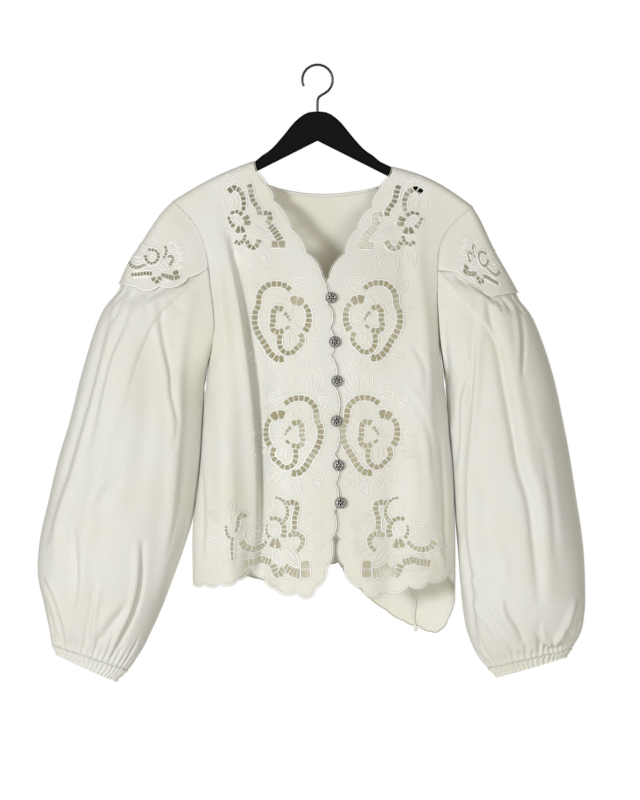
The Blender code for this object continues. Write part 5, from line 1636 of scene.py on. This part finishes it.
class BlouseStage(bpy.types.PropertyGroup):
    """Camera, lights and floor."""
    lens: FloatProperty(name="Lens", description="Focal length in millimetres", default=232.0, min=20,
                        max=400)
    camera_distance: FloatProperty(name="Camera distance", description="From the hook to the camera",
                                   unit="LENGTH", default=7.0, min=1, max=12)
    key_power: FloatProperty(name="Key light", description="Power of the main light in watts", default=135.0,
                             min=0, max=500)
    world_color: FloatVectorProperty(name="Surroundings", description="Colour of the surroundings",
                                     subtype="COLOR", size=3, min=0, max=1, default=(1.0, 0.95, 0.82))
    world_strength: FloatProperty(name="Surroundings strength", description="Light from all round",
                                  default=0.34, min=0, max=3)
    floor_color: FloatVectorProperty(name="Floor", description="Colour of the floor", subtype="COLOR",
                                     size=3, min=0, max=1, default=(0.86, 0.86, 0.85))
    floor_drop: FloatProperty(name="Floor drop", description="Floor below the hook", unit="LENGTH",
                              default=1.25, min=0.9, max=3)


# Operators

class BLOUSE_OT_stage(bpy.types.Operator):
    """Make the floor, lights, surroundings and camera"""
    bl_idname = "blouse.stage"
    bl_label = "Stage"

    def execute(self, context):
        make_stage()
        return {"FINISHED"}


class BLOUSE_OT_tie(bpy.types.Operator):
    """Make the thin tie at the hem and its knot"""
    bl_idname = "blouse.tie"
    bl_label = "Hem tie"

    def execute(self, context):
        make_tie()
        return {"FINISHED"}


class BLOUSE_OT_fronts(bpy.types.Operator):
    """Make both fronts with their cutwork, embroidery and scalloped edges"""
    bl_idname = "blouse.fronts"
    bl_label = "Fronts"

    def execute(self, context):
        for side in (LEFT, RIGHT):
            make_front(side)
        return {"FINISHED"}


class BLOUSE_OT_back(bpy.types.Operator):
    """Make the back and the binding of its neck"""
    bl_idname = "blouse.back"
    bl_label = "Back"

    def execute(self, context):
        make_back()
        make_neck_binding()
        return {"FINISHED"}


class BLOUSE_OT_sleeves(bpy.types.Operator):
    """Make both balloon sleeves"""
    bl_idname = "blouse.sleeves"
    bl_label = "Sleeves"

    def execute(self, context):
        for side in (LEFT, RIGHT):
            make_sleeve(side)
        return {"FINISHED"}


class BLOUSE_OT_caps(bpy.types.Operator):
    """Make both sleeve caps with their cutwork"""
    bl_idname = "blouse.caps"
    bl_label = "Sleeve caps"

    def execute(self, context):
        for side in (LEFT, RIGHT):
            make_cap(side)
        return {"FINISHED"}


class BLOUSE_OT_cuffs(bpy.types.Operator):
    """Make both ruched cuffs"""
    bl_idname = "blouse.cuffs"
    bl_label = "Cuffs"

    def execute(self, context):
        for side in (LEFT, RIGHT):
            make_cuff(side)
        return {"FINISHED"}


class BLOUSE_OT_buttons(bpy.types.Operator):
    """Make the six ornate buttons"""
    bl_idname = "blouse.buttons"
    bl_label = "Buttons"

    def execute(self, context):
        material = metal_material(context.scene.blouse_buttons)
        for number, (x, drop) in enumerate(BUTTON_PLACES, 1):
            make_button(number, x, drop, material)
        return {"FINISHED"}


class BLOUSE_OT_hanger(bpy.types.Operator):
    """Finish the hanger and its hook"""
    bl_idname = "blouse.hanger"
    bl_label = "Hanger"

    def execute(self, context):
        finish_hanger()
        return {"FINISHED"}


OPERATORS = (BLOUSE_OT_stage, BLOUSE_OT_tie, BLOUSE_OT_fronts, BLOUSE_OT_back, BLOUSE_OT_sleeves,
             BLOUSE_OT_caps, BLOUSE_OT_cuffs, BLOUSE_OT_buttons, BLOUSE_OT_hanger)


class BLOUSE_PT_panel(bpy.types.Panel):
    """Lists the settings and the steps"""
    bl_label = "Blouse"
    bl_idname = "BLOUSE_PT_panel"
    bl_space_type = "VIEW_3D"
    bl_region_type = "UI"
    bl_category = "Blouse"

    def draw(self, context):
        layout = self.layout
        for group in (context.scene.blouse_cloth, context.scene.blouse_buttons, context.scene.blouse_stage):
            box = layout.box()
            for name in group.bl_rna.properties.keys():
                if name not in ("rna_type", "name"):
                    box.prop(group, name)
        for operator in OPERATORS:
            layout.operator(operator.bl_idname)


CLASSES = (BlouseCloth, BlouseButtons, BlouseStage) + OPERATORS + (BLOUSE_PT_panel,)


def register():
    """Register the settings, operators and panel."""
    for item in CLASSES:
        bpy.utils.register_class(item)
    bpy.types.Scene.blouse_cloth = PointerProperty(type=BlouseCloth)
    bpy.types.Scene.blouse_buttons = PointerProperty(type=BlouseButtons)
    bpy.types.Scene.blouse_stage = PointerProperty(type=BlouseStage)


def unregister():
    """Remove the settings, operators and panel."""
    del bpy.types.Scene.blouse_stage
    del bpy.types.Scene.blouse_buttons
    del bpy.types.Scene.blouse_cloth
    for item in reversed(CLASSES):
        bpy.utils.unregister_class(item)


def main():
    """Make every piece in order."""
    register()
    bpy.ops.blouse.stage()
    bpy.ops.blouse.tie()
    bpy.ops.blouse.fronts()
    bpy.ops.blouse.back()
    bpy.ops.blouse.sleeves()
    bpy.ops.blouse.caps()
    bpy.ops.blouse.cuffs()
    bpy.ops.blouse.buttons()
    bpy.ops.blouse.hanger()


if __name__ == "__main__":
    main()
